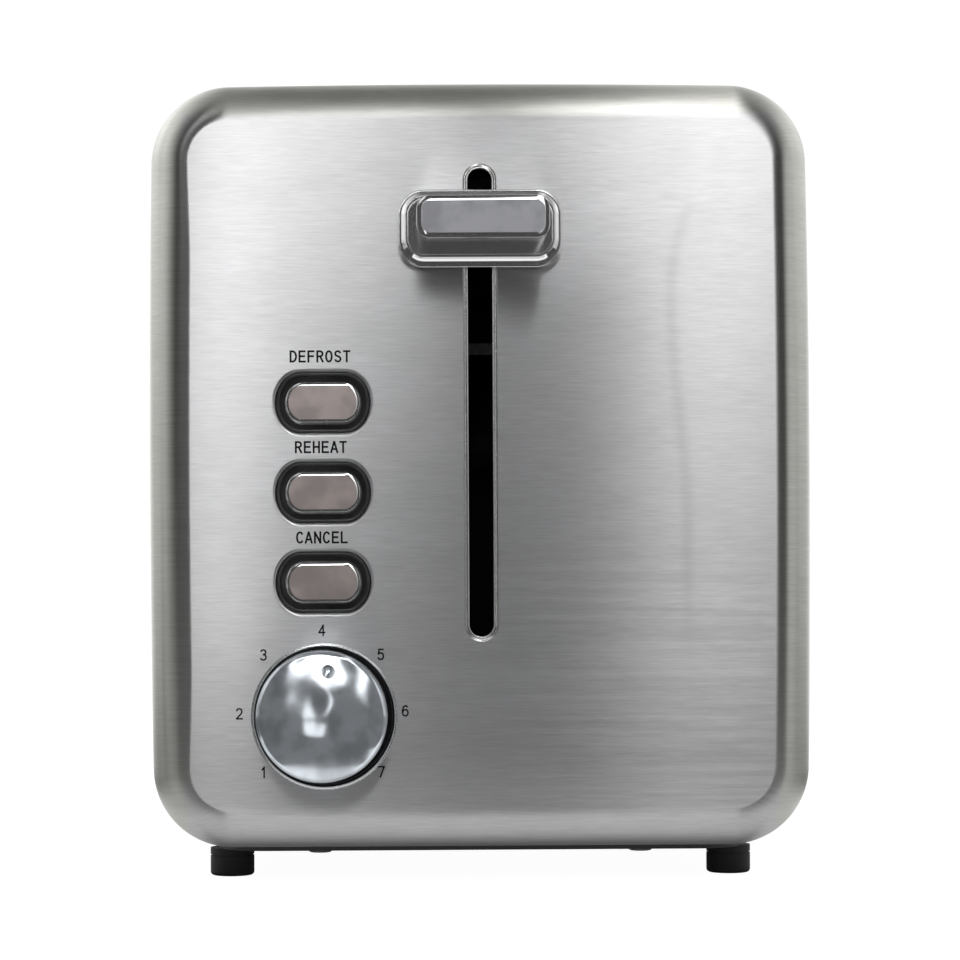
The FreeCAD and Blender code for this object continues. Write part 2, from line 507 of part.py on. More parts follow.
# ------------------------------------------------------------------ bread guide cages
for name, x in (("outer_left", -49.0), ("inner_left", -7.0), ("inner_right", 7.0), ("outer_right", 49.0)):
    ws = [cyl_y(x, 26.0, 1.0, WALL_F - 3.0, WALL_R + WALL_T + 3.0)]
    ws.append(cyl_y(x, 168.0, 0.9, 70.0, 226.0))
    ws.append(cyl_y(x, 97.0, 0.8, 70.0, 226.0))
    for i in range(9):
        ws.append(cyl_z(x, 71.0 + 19.25 * i, 0.8, 26.0, 168.0))
    save("bread_guide_" + name, fuse(ws))

# ------------------------------------------------------------------ electronics
board = box(-62, -19, 22.0, 23.6, 24, 134)
board = board.cut(cyl_y(KNOB_X, KNOB_Z, 3.2, 20, 25))
BOARD_BACK = ((-59, 27), (-59, 131))            # posts that stand on the front wall of the chassis
BOARD_FRONT = ((-26.5, 66), (-26.5, 123.5))     # posts that stand on the button bezel
for x, z in BOARD_BACK + BOARD_FRONT:
    board = board.cut(cyl_y(x, z, 1.6, 20, 25))
save("control_board", board)
sw = []
for bz in BUTTON_Z.values():
    s = box(BUTTON_X - 6, BUTTON_X + 6, 15.5, 22.0, bz - 6, bz + 6)
    s = s.cut(cyl_y(BUTTON_X, bz, 2.0, 14, 20.4))
    sw.append(s)
save("push_switches", Part.makeCompound(sw))
pot = fuse([box(KNOB_X - 8.5, KNOB_X + 8.5, 13.0, 21.9, KNOB_Z - 8.5, KNOB_Z + 8.5), cyl_y(KNOB_X, KNOB_Z, 4.2, 7.0, 13.2)])
pot = pot.cut(cyl_y(KNOB_X, KNOB_Z, 2.97 + RUN, 5, 20.4))
save("potentiometer", pot)
posts = []
for x, z in BOARD_BACK:
    posts.append(cyl_y(x, z, 2.6, 23.6, WALL_F).fuse(cyl_y(x, z, 1.5, 21.0, 24.0)).removeSplitter())
for x, z in BOARD_FRONT:
    posts.append(cyl_y(x, z, 2.6, 5.2, 22.0).fuse(cyl_y(x, z, 1.5, 21.0, 24.6)).removeSplitter())

pb = box(24, 64, 24.0, 25.6, 24, 112)
for x, z in ((27, 27), (61, 27), (27, 109), (61, 109)):
    pb = pb.cut(cyl_y(x, z, 1.6, 20, 27))
save("power_board", pb)
for x, z in ((61, 27), (61, 109)):
    posts.append(cyl_y(x, z, 2.6, 25.6, WALL_F).fuse(cyl_y(x, z, 1.5, 23.0, 26.0)).removeSplitter())
for x, z in ((27, 27), (27, 109)):
    posts.append(cyl_y(x, z, 1.5, 23.0, 26.6).fuse(cyl_y(x, z, 2.6, COVER_T, 24.0)).removeSplitter())
save("board_posts", Part.makeCompound(posts))
relay = box(36, 52, 25.6, 41.0, 84, 104)
save("relay", relay)
tr = fuse([box(33, 57, 25.6, 39.0, 36, 54), box(37, 53, 25.6, 42.0, 33, 57)])
save("transformer", tr)

tb = box(30, 62, WALL_R + WALL_T, WALL_R + WALL_T + 12.0, 62, 76)
for i in range(3):
    tb = tb.cut(cyl_z(36 + 10 * i, WALL_R + WALL_T + 6.0, 2.4, 70, 80))
save("terminal_block", tb)

# ------------------------------------------------------------------ crumb tray
tray = box(-49, 49, 64.0, 262.0, 10.3, 18.0).cut(box(-48.2, 48.2, 64.8, 261.2, 11.1, 30))
tray = tray.fuse(box(-49, 49, 260.4, 262.0, 10.3, 18.0)).removeSplitter()
save("crumb_tray", tray)
grip = box(-TRAY_W, TRAY_W, 262.0, BODY_LEN + TRAY_OUT, 10.4, 18.9)
grip = grip.makeFillet(2.0, [e for e in grip.Edges if e.CenterOfMass.y > YR + TRAY_OUT - 0.01])
grip = grip.cut(rrect(60, 5.0, 2.4, 0, 10.6, 266.5, 275.0).fuse(box(-30, 30, 266.5, 272.0, 9, 13.0)))
save("tray_grip", grip)
rails = []
for s in (-1, 1):
    xa, xb = sorted((s * 49.4, s * 53.0))
    r = box(xa, xb, 64.0, 230.0, 10.0, 22.5)
    xa, xb = sorted((s * 48.0, s * 52.2))
    r = r.cut(box(xa, xb, 60.0, 240.0, 8.0, 21.7))
    xa, xb = sorted((s * 49.4, s * 52.2))
    rails.append(r)
save("tray_rails", Part.makeCompound(rails))
print("body front face at", YF, "rear face at", YR)
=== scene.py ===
import math

import bmesh
import bpy
from mathutils import Matrix, Vector
from mathutils.geometry import delaunay_2d_cdt, tessellate_polygon


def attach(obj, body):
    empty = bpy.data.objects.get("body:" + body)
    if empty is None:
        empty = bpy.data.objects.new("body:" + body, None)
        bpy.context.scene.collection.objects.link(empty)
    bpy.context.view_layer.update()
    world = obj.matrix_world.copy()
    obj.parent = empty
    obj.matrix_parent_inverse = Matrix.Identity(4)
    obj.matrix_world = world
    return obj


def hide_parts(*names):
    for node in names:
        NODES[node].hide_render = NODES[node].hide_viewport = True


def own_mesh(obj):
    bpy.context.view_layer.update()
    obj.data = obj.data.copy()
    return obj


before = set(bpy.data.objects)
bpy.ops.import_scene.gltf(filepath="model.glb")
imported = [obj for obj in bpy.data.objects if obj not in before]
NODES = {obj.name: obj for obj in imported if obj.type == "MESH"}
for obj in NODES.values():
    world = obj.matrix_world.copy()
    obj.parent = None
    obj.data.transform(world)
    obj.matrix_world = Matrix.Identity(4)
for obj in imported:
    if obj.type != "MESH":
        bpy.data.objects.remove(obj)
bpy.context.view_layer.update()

SCENE = bpy.context.scene
MM = 0.001
RAD = math.radians

# Driving dimensions of the body, in millimetres, as the CAD has them.
YF, YR = -124.5, 143.5
BODY_W, BODY_Z0, OVERALL_H, CORNER_R = 162.1, 8.1, 195.0, 19.5
SIDE_CROWN, TOP_CROWN = 0.7, 0.5
EDGE_R, COVER_T, COVER_DEPTH = 9.5, 0.8, 32.0
SLOT_W, SLOT_Z0, SLOT_Z1, SLOT_LIP = 5.9, 59.55, 173.25, 1.15
BUTTON_X = -38.3
BUTTON_Z = {"defrost": 116.5, "reheat": 94.7, "cancel": 72.9}
BUTTON_W, BUTTON_H, BUTTON_END = 17.9, 9.6, 4.0
WELL_W, WELL_H, WELL_END, WELL_LIP = 22.9, 14.8, 6.1, 0.9
KNOB_X, KNOB_Z, KNOB_R, KNOB_OUT = -38.7, 40.85, 15.8, 14.0
KNOB_EDGE = 18.0              # slope of the domed crown where it meets the rim, in degrees
DISH_X, DISH_Z, KNOB_OPEN_R, KNOB_LIP = -38.25, 40.4, 17.0, 0.8


# ------------------------------------------------------------------ camera
def make_camera():
    data = bpy.data.cameras.new("camera")
    cam = bpy.data.objects.new("camera", data)
    SCENE.collection.objects.link(cam)
    yaw, pitch, roll = RAD(0.6013), RAD(0.5383), RAD(-0.2917)
    fwd = Vector((math.sin(yaw) * math.cos(pitch), math.cos(yaw) * math.cos(pitch), math.sin(pitch)))
    right = Vector((math.cos(yaw), -math.sin(yaw), 0.0))
    up = right.cross(fwd)
    x = right * math.cos(roll) + up * math.sin(roll)
    y = up * math.cos(roll) - right * math.sin(roll)
    m = Matrix((x, y, -fwd)).transposed().to_4x4()
    m.translation = Vector((-19.665, -858.59, 77.665)) * MM
    cam.matrix_world = m
    data.sensor_width = 36.0
    data.lens = 113.576
    data.shift_x, data.shift_y = 0.05, 0.056
    data.clip_start, data.clip_end = 0.02, 60.0
    data.dof.use_dof = False
    SCENE.camera = cam


make_camera()
SCENE.view_settings.view_transform = "Standard"
SCENE.view_settings.look = "None"


# ------------------------------------------------------------------ node helpers
class Nodes:
    """A small writer for node trees."""

    def __init__(self, tree):
        self.tree = tree
        tree.nodes.clear()

    def new(self, kind, **props):
        n = self.tree.nodes.new(kind)
        for k, v in props.items():
            setattr(n, k, v)
        return n

    def link(self, a, b):
        self.tree.links.new(a, b)

    def feed(self, socket, value):
        if isinstance(value, bpy.types.NodeSocket):
            self.link(value, socket)
        elif value is not None:
            socket.default_value = value

    def math(self, op, a, b=None, c=None, clamp=False):
        n = self.new("ShaderNodeMath", operation=op, use_clamp=clamp)
        for i, v in enumerate((a, b, c)):
            if v is not None:
                self.feed(n.inputs[i], v)
        return n.outputs[0]

    def ramp(self, fac, stops, mode="LINEAR"):
        n = self.new("ShaderNodeValToRGB")
        e = n.color_ramp.elements
        n.color_ramp.interpolation = mode
        while len(e) < len(stops):
            e.new(0.5)
        for el, (pos, col) in zip(e, stops):
            el.position = pos
            el.color = (col, col, col, 1.0) if isinstance(col, (int, float)) else (*col, 1.0)
        self.feed(n.inputs[0], fac)
        return n.outputs[0]

    def span(self, value, a, b, c=0.0, d=1.0, smooth=True):
        """value from a..b to c..d, held outside."""
        n = self.new("ShaderNodeMapRange", interpolation_type="SMOOTHSTEP" if smooth else "LINEAR", clamp=True)
        for s, v in zip(n.inputs[:5], (value, a, b, c, d)):
            self.feed(s, v)
        return n.outputs[0]

    def noise(self, vector, scale, detail=2.0, rough=0.5, dims="3D", distortion=0.0):
        n = self.new("ShaderNodeTexNoise", noise_dimensions=dims)
        self.feed(n.inputs["Vector"], vector)
        n.inputs["Scale"].default_value = scale
        n.inputs["Detail"].default_value = detail
        n.inputs["Roughness"].default_value = rough
        n.inputs["Distortion"].default_value = distortion
        return n.outputs[0]

    def mapping(self, vector, scale=(1, 1, 1), rotation=(0, 0, 0), location=(0, 0, 0)):
        n = self.new("ShaderNodeMapping")
        self.feed(n.inputs["Vector"], vector)
        n.inputs["Scale"].default_value = scale
        n.inputs["Rotation"].default_value = rotation
        n.inputs["Location"].default_value = location
        return n.outputs[0]

    def mix(self, fac, a, b):
        n = self.new("ShaderNodeMix", data_type="RGBA")
        self.feed(n.inputs[0], fac)
        for s, v in ((n.inputs[6], a), (n.inputs[7], b)):
            self.feed(s, (*v, 1.0) if isinstance(v, tuple) and len(v) == 3 else v)
        return n.outputs[2]

    def bump(self, height, distance, strength=1.0, normal=None):
        n = self.new("ShaderNodeBump")
        n.inputs["Strength"].default_value = strength
        n.inputs["Distance"].default_value = distance
        self.feed(n.inputs["Height"], height)
        if normal is not None:
            self.link(normal, n.inputs["Normal"])
        return n.outputs[0]


def material(name):
    m = bpy.data.materials.new(name)
    m.use_nodes = True
    n = Nodes(m.node_tree)
    bsdf = n.new("ShaderNodeBsdfPrincipled")
    out = n.new("ShaderNodeOutputMaterial")
    n.link(bsdf.outputs[0], out.inputs[0])
    return m, n, bsdf


def obj_coord(n):
    return n.new("ShaderNodeTexCoord").outputs["Object"]


# ------------------------------------------------------------------ materials
def steel_grained(name, color=(0.62, 0.62, 0.612), rough=0.294, aniso=0.978, wear=1.0, front=False):
    """Brushed stainless steel. The "grain" coordinates run along the brush lines in x and across them in y, in mm."""
    m, n, b = material(name)
    g = n.new("ShaderNodeUVMap", uv_map="grain").outputs[0]
    fine = n.noise(n.mapping(g, (0.16, 3.6, 1.0)), 1.0, 3.0, 0.62, "2D")
    dash = n.noise(n.mapping(g, (0.07, 1.25, 1.0), location=(7.3, 2.1, 0)), 1.0, 2.0, 0.55, "2D")
    broad = n.noise(n.mapping(g, (0.03, 0.11, 1.0), location=(3.1, 9.7, 0)), 1.0, 2.0, 0.5, "2D")
    f = n.math("ADD", n.math("MULTIPLY", fine, 0.70), n.math("MULTIPLY", dash, 0.30))
    lo = tuple(c * 0.91 for c in color)
    hi = tuple(min(1.0, c * 1.09) for c in color)
    col = n.mix(n.span(f, 0.32, 0.68, smooth=False), lo, hi)
    blot = n.mix(n.span(broad, 0.3, 0.7), (0.965, 0.965, 0.96), (1.0, 1.0, 1.0))
    mul = n.new("ShaderNodeMix", data_type="RGBA", blend_type="MULTIPLY")
    mul.inputs[0].default_value = wear
    n.link(col, mul.inputs[6])
    n.link(blot, mul.inputs[7])
    if front:
        # painted highlight and shade: the sheet's colour is painted brighter above the lever, and darker along its foot
        # and at its lower left
        p = n.new("ShaderNodeSeparateXYZ")
        n.link(obj_coord(n), p.inputs[0])
        u = n.math("POWER", n.math("MULTIPLY", n.math("ABSOLUTE", n.math("SUBTRACT", p.outputs[0], 0.013)), 1 / 0.027), 4.0)
        painted_highlight = n.math("MULTIPLY", n.math("EXPONENT", n.math("MULTIPLY", u, -1.0)), n.span(p.outputs[2], 0.134, 0.166, 0.0, 0.40))
        # painted shade: darker towards the foot of the sheet, more so at its lower left
        low = n.math("ADD", n.span(p.outputs[2], 0.050, 0.024, 0.0, 0.15),
                     n.math("MULTIPLY", n.span(p.outputs[2], 0.066, 0.044), n.span(p.outputs[0], -0.030, -0.050, 0.0, 0.10)))
        painted_highlight = n.math("MULTIPLY", painted_highlight, n.span(p.outputs[2], 0.1835, 0.1885, 1.0, 0.0))
        low = n.math("MULTIPLY", low, n.span(p.outputs[2], 0.0155, 0.0195))
        tone = n.math("SUBTRACT", n.math("ADD", painted_highlight, 1.0), low)
        # a coarser pass of the brush shows low on the right
        streak = n.noise(n.mapping(g, (0.016, 0.50, 1.0), location=(1.7, 5.3, 0)), 1.0, 2.0, 0.6, "2D")
        where = n.math("MULTIPLY", n.span(p.outputs[2], 0.096, 0.060), n.span(p.outputs[0], -0.005, 0.022))
        where = n.math("MULTIPLY", where, n.span(p.outputs[2], 0.0155, 0.0195))
        where = n.math("MULTIPLY", where, n.span(n.math("ABSOLUTE", p.outputs[0]), 0.0725, 0.0700))
        tone = n.math("ADD", tone, n.math("MULTIPLY", n.span(streak, 0.36, 0.64, -0.060, 0.060, smooth=False), where))
        # and a painted reflection: the faint dark line that a long shallow dent mirrors is painted down the right of
        # the sheet
        up = n.math("MAXIMUM", n.math("SUBTRACT", p.outputs[2], 0.1416), 0.0)
        mid = n.math("ADD", n.math("MULTIPLY", n.math("MULTIPLY", up, up), 9.0), n.span(p.outputs[2], 0.1416, 0.086, 0.0463, 0.0501))
        away = n.math("POWER", n.math("MULTIPLY", n.math("ABSOLUTE", n.math("SUBTRACT", p.outputs[0], mid)), 1 / 0.0016), 2.0)
        dent_painted_reflection = n.math("MULTIPLY", n.math("EXPONENT", n.math("MULTIPLY", away, -1.0)), n.span(p.outputs[2], 0.050, 0.080, 0.0, 0.11))
        tone = n.math("SUBTRACT", tone, n.math("MULTIPLY", dent_painted_reflection, n.span(p.outputs[2], 0.170, 0.156)))
        # the rolled edge is a shade warmer than the face at the sides and the top
        bent = n.math("MAXIMUM", n.span(n.math("ABSOLUTE", p.outputs[0]), 0.0700, 0.0740), n.span(p.outputs[2], 0.1845, 0.1885))
        hue = n.new("ShaderNodeVectorMath", operation="MULTIPLY")
        plain = n.new("ShaderNodeMix", data_type="RGBA")
        n.link(n.span(p.outputs[1], -0.104, -0.115), plain.inputs[0])
        plain.inputs[6].default_value = (1.0, 1.0, 1.0, 1.0)
        n.link(n.mix(bent, (0.992, 0.993, 1.018), (1.014, 1.012, 0.966)), plain.inputs[7])
        n.link(plain.outputs[2], hue.inputs[1])
        scale = n.new("ShaderNodeVectorMath", operation="SCALE")
        n.link(mul.outputs[2], scale.inputs[0])
        n.link(tone, scale.inputs["Scale"])
        n.link(scale.outputs[0], hue.inputs[0])
        n.link(hue.outputs[0], b.inputs["Base Color"])
    else:
        n.link(mul.outputs[2], b.inputs["Base Color"])
    b.inputs["Metallic"].default_value = 1.0
    n.link(n.span(f, 0.3, 0.7, rough - 0.004, rough + 0.004, smooth=False), b.inputs["Roughness"])
    b.inputs["Anisotropic"].default_value = aniso
    b.inputs["Anisotropic Rotation"].default_value = 0.25
    t = n.new("ShaderNodeTangent", direction_type="UV_MAP", uv_map="grain")
    n.link(t.outputs[0], b.inputs["Tangent"])
    n.link(n.bump(f, 1.2e-6, 0.6), b.inputs["Normal"])
    return m


def chrome(name, color=(0.80, 0.805, 0.81), rough=0.06, wave=2.0e-5, size=260.0, smudge=0.04, haze=0.12, place=(0, 0, 0), blotch=0.0, still=None):
    """Bright chrome on moulded plastic: a slightly wavy skin, a little milky, with faint smudges."""
    m, n, b = material(name)
    p = n.mapping(obj_coord(n), location=place)
    w = n.noise(p, size, 1.0, 0.4)
    s = n.noise(p, 300.0, 2.0, 0.5)
    cloud = n.noise(p, 150.0, 2.0, 0.5)
    tone = n.mix(n.span(cloud, 0.34, 0.66), tuple(c * (1 - blotch) for c in color), tuple(min(1.0, c * (1 + blotch)) for c in color))
    n.link(tone, b.inputs["Base Color"])
    b.inputs["Metallic"].default_value = 1.0 - haze
    b.inputs["Specular IOR Level"].default_value = 0.2
    n.link(n.span(s, 0.3, 0.8, rough, rough + smudge), b.inputs["Roughness"])
    if still:
        # the skin is true towards its lower edge: the waves die out between the two heights
        q = n.new("ShaderNodeSeparateXYZ")
        n.link(obj_coord(n), q.inputs[0])
        w = n.math("ADD", n.math("MULTIPLY", n.math("SUBTRACT", w, 0.5), n.span(q.outputs[2], still[0], still[1])), 0.5)
    n.link(n.bump(w, wave, 1.0), b.inputs["Normal"])
    return m


def plastic(name, color, rough, grain=2.0e-5, size=2600.0, spec=0.5, coat=0.0, vary=0.12):
    m, n, b = material(name)
    p = obj_coord(n)
    g = n.noise(p, size, 3.0, 0.6)
    d = n.noise(p, 90.0, 3.0, 0.55)
    tone = n.mix(n.span(d, 0.3, 0.7), tuple(c * (1 - vary) for c in color), tuple(min(1, c * (1 + vary)) for c in color))
    n.link(tone, b.inputs["Base Color"])
    n.link(n.span(d, 0.3, 0.75, max(0.02, rough - 0.03), rough + 0.05), b.inputs["Roughness"])
    b.inputs["Specular IOR Level"].default_value = spec
    b.inputs["Coat Weight"].default_value = coat
    b.inputs["Coat Roughness"].default_value = 0.05
    n.link(n.bump(g, grain, 0.7), b.inputs["Normal"])
    return m


def sheet_metal(name, color, rough, spangle=140.0, depth=0.10):
    """Zinc-coated or rolled sheet: flat crystals of slightly different brightness."""
    m, n, b = material(name)
    p = obj_coord(n)
    v = n.new("ShaderNodeTexVoronoi", feature="F1")
    v.inputs["Scale"].default_value = spangle
    n.link(p, v.inputs["Vector"])
    bw = n.new("ShaderNodeRGBToBW")
    n.link(v.outputs["Color"], bw.inputs[0])
    d = n.noise(p, 60.0, 4.0, 0.6)
    f = n.math("ADD", n.math("MULTIPLY", bw.outputs[0], 0.55), n.math("MULTIPLY", d, 0.45))
    n.link(n.mix(n.span(f, 0.2, 0.8), tuple(c * (1 - depth) for c in color), tuple(min(1, c * (1 + depth)) for c in color)), b.inputs["Base Color"])
    b.inputs["Metallic"].default_value = 1.0
    n.link(n.span(f, 0.2, 0.8, rough - 0.06, rough + 0.08), b.inputs["Roughness"])
    n.link(n.bump(d, 1.2e-5, 0.6), b.inputs["Normal"])
    return m


def drawn_wire(name, color, rough):
    m, n, b = material(name)
    p = obj_coord(n)
    s = n.noise(n.mapping(p, (1.0, 0.08, 0.08)), 3000.0, 2.0, 0.5)
    d = n.noise(p, 120.0, 3.0, 0.6)
    n.link(n.mix(n.span(d, 0.3, 0.7), tuple(c * 0.85 for c in color), color), b.inputs["Base Color"])
    b.inputs["Metallic"].default_value = 1.0
    n.link(n.span(d, 0.3, 0.7, rough, rough + 0.12), b.inputs["Roughness"])
    n.link(n.bump(s, 8e-6, 0.6), b.inputs["Normal"])
    return m


def mica(name):
    m, n, b = material(name)
    p = obj_coord(n)
    v = n.new("ShaderNodeTexVoronoi", feature="F1")
    v.inputs["Scale"].default_value = 220.0
    n.link(n.mapping(p, (0.3, 1.0, 1.4)), v.inputs["Vector"])
    bw = n.new("ShaderNodeRGBToBW")
    n.link(v.outputs["Color"], bw.inputs[0])
    d = n.noise(p, 45.0, 5.0, 0.65, distortion=0.6)
    tone = n.ramp(n.math("ADD", n.math("MULTIPLY", bw.outputs[0], 0.4), n.math("MULTIPLY", d, 0.6)),
                  [(0.2, (0.25, 0.20, 0.13)), (0.5, (0.42, 0.36, 0.26)), (0.8, (0.62, 0.56, 0.45))])
    n.link(tone, b.inputs["Base Color"])
    n.link(n.span(bw.outputs[0], 0.1, 0.9, 0.28, 0.55), b.inputs["Roughness"])
    n.link(n.bump(bw.outputs[0], 3e-5, 0.5), b.inputs["Normal"])
    return m


def oxidised(name):
    m, n, b = material(name)
    p = obj_coord(n)
    d = n.noise(p, 160.0, 4.0, 0.6)
    n.link(n.ramp(d, [(0.3, (0.13, 0.12, 0.125)), (0.55, (0.33, 0.31, 0.30)), (0.75, (0.46, 0.40, 0.34))]), b.inputs["Base Color"])
    b.inputs["Metallic"].default_value = 1.0
    n.link(n.span(d, 0.3, 0.7, 0.55, 0.38), b.inputs["Roughness"])
    n.link(n.bump(d, 1e-5, 0.5), b.inputs["Normal"])
    return m


def circuit_board(name):
    """Green laminate with paler copper runs under the mask."""
    m, n, b = material(name)
    p = obj_coord(n)
    br = n.new("ShaderNodeTexBrick", offset=0.37, squash=1.0)
    n.link(n.mapping(p, (1.0, 1.0, 1.0), rotation=(math.pi / 2, 0, 0)), br.inputs["Vector"])
    br.inputs["Scale"].default_value = 120.0
    br.inputs["Mortar Size"].default_value = 0.05
    br.inputs["Color1"].default_value = (0, 0, 0, 1)
    br.inputs["Color2"].default_value = (0, 0, 0, 1)
    br.inputs["Mortar"].default_value = (1, 1, 1, 1)
    g = n.noise(p, 300.0, 3.0, 0.6)
    base = n.mix(n.span(g, 0.3, 0.7), (0.028, 0.15, 0.06), (0.05, 0.22, 0.10))
    n.link(n.mix(br.outputs["Color"], base, (0.10, 0.36, 0.16)), b.inputs["Base Color"])
    b.inputs["Roughness"].default_value = 0.3
    n.link(n.bump(br.outputs["Color"], 4e-5, 0.6), b.inputs["Normal"])
    return m


def wound(name):
    """Turns of enamelled wire under varnish, about 0.5 mm apart up the coil."""
    m, n, b = material(name)
    p = obj_coord(n)
    z = n.new("ShaderNodeSeparateXYZ")
    n.link(p, z.inputs[0])
    turn = n.math("SINE", n.math("MULTIPLY", z.outputs[2], 2 * math.pi / 0.0005))
    d = n.noise(p, 200.0, 3.0, 0.6)
    n.link(n.mix(n.span(turn, -1, 1), (0.16, 0.055, 0.02), (0.55, 0.24, 0.09)), b.inputs["Base Color"])
    n.link(n.span(d, 0.3, 0.7, 0.25, 0.42), b.inputs["Roughness"])
    n.link(n.bump(turn, 8e-5, 0.7), b.inputs["Normal"])
    return m


STEEL = steel_grained("brushed_steel")
# the front cover's steel carries a painted highlight, painted shade and a painted reflection
STEEL_FRONT_PAINTED_LIGHT = steel_grained("brushed_steel_front_painted_light", front=True)
STEEL_WRAP = steel_grained("brushed_steel_wrap")
CHROME = chrome("chrome_bright")
STEEL_LIP = chrome("burnished_lip", color=(0.84, 0.84, 0.83), rough=0.20, wave=2.0e-6, size=200.0, smudge=0.03, haze=0.03)
CHROME_KNOB = chrome("chrome_knob", color=(0.71, 0.76, 0.81), rough=0.14, wave=3.5e-3, size=60.0, smudge=0.02, haze=0.28, place=(0.05, 0.02, 0.076), blotch=0.20,
                     still=(0.0290, 0.0355))
CHROME_LEVER = chrome("chrome_lever", color=(0.88, 0.88, 0.88), rough=0.09, wave=3.0e-6, size=120.0, smudge=0.0, haze=0.03)
# the lever handle's face takes this rougher, hazier copy of the bright chrome; its darker colour is painted shade,
# standing in for the dark reflection on the face
CHROME_BLOCK_PAINTED_SHADE = chrome("chrome_block_painted_shade", color=(0.400, 0.403, 0.425), rough=0.34, wave=2.0e-5, size=110.0, smudge=0.03, haze=0.42, blotch=0.16)
# the push buttons' faces take this rougher, hazier copy of the bright chrome; its darker, brownish colour is a painted
# reflection of the brownish grey they mirror
CHROME_BUTTON_PAINTED_REFLECTION = chrome("chrome_button_painted_reflection", color=(0.535, 0.468, 0.446), rough=0.34, wave=2.0e-5, size=110.0, smudge=0.02, haze=0.42, blotch=0.16)
BLACK_BEZEL = plastic("black_bezel", (0.055, 0.055, 0.0535), 0.14, grain=4e-6, size=900.0, spec=0.5, coat=0.3)
BLACK_GLOSS = plastic("black_gloss", (0.012, 0.012, 0.0125), 0.12, grain=4e-6, size=900.0, spec=0.5, coat=0.3)
BLACK_MATTE = plastic("black_matte", (0.020, 0.020, 0.0205), 0.5, grain=3e-5, size=2400.0)
BLACK_COAT = plastic("black_coating", (0.028, 0.028, 0.028), 0.7, grain=2e-5, size=1900.0, spec=0.25)
RUBBER = plastic("rubber_black", (0.016, 0.016, 0.0165), 0.62, grain=5e-5, size=1500.0, spec=0.35)
INK = plastic("printed_ink", (0.006, 0.006, 0.007), 0.6, grain=3e-6, size=3000.0, spec=0.12)
ZINC = sheet_metal("zinc_sheet", (0.55, 0.56, 0.57), 0.36)
REFLECTOR = sheet_metal("reflector_sheet", (0.78, 0.78, 0.78), 0.22, spangle=60.0, depth=0.05)
PLATED = drawn_wire("plated_wire", (0.66, 0.66, 0.66), 0.22)
SPRING = drawn_wire("spring_wire", (0.50, 0.50, 0.52), 0.30)
MICA = mica("mica_sheet")
RIBBON = oxidised("heating_ribbon")
COIL = wound("coil_winding")
IRON = sheet_metal("machined_iron", (0.28, 0.28, 0.29), 0.34, spangle=400.0, depth=0.15)
BOARD = circuit_board("board_laminate")
COMPONENT = plastic("component_plastic", (0.035, 0.045, 0.08), 0.3, grain=8e-6, size=1800.0)
TERMINAL = plastic("terminal_plastic", (0.72, 0.71, 0.66), 0.42, grain=1.5e-5, size=2000.0, vary=0.05)


# ------------------------------------------------------------------ loops, in a plane, with outward normals
def arc(cx, cz, r, a0, a1, n):
    return [(cx + r * math.cos(a), cz + r * math.sin(a), math.cos(a), math.sin(a))
            for a in (a0 + (a1 - a0) * i / n for i in range(n + 1))]


def rrect(w, h, r, x=0.0, z=0.0, n=12):
    """A rounded rectangle, anticlockwise. A zero radius gives sharp corners."""
    x0, x1, z0, z1 = x - w / 2 + r, x + w / 2 - r, z - h / 2 + r, z + h / 2 - r
    q = math.pi / 2
    if r <= 0:
        n = 1
    return (arc(x1, z0, r, -q, 0, n) + arc(x1, z1, r, 0, q, n)
            + arc(x0, z1, r, q, 2 * q, n) + arc(x0, z0, r, 2 * q, 3 * q, n))


def circle(r, x=0.0, z=0.0, n=72):
    return arc(x, z, r, 0, 2 * math.pi, n)[:-1]


def oval(w, h, a, x=0.0, z=0.0, n=28):
    """Straight top and bottom, and ends that are half ellipses a long."""
    hw, b, out = w / 2 - a, h / 2, []
    for s, t0 in ((1, -90), (-1, 90)):
        for i in range(n + 1):
            t = RAD(t0 + 180 * i / n)
            nx, nz = math.cos(t) / a, math.sin(t) / b
            k = math.hypot(nx, nz)
            out.append((x + s * hw + a * math.cos(t), z + b * math.sin(t), nx / k, nz / k))
    return out


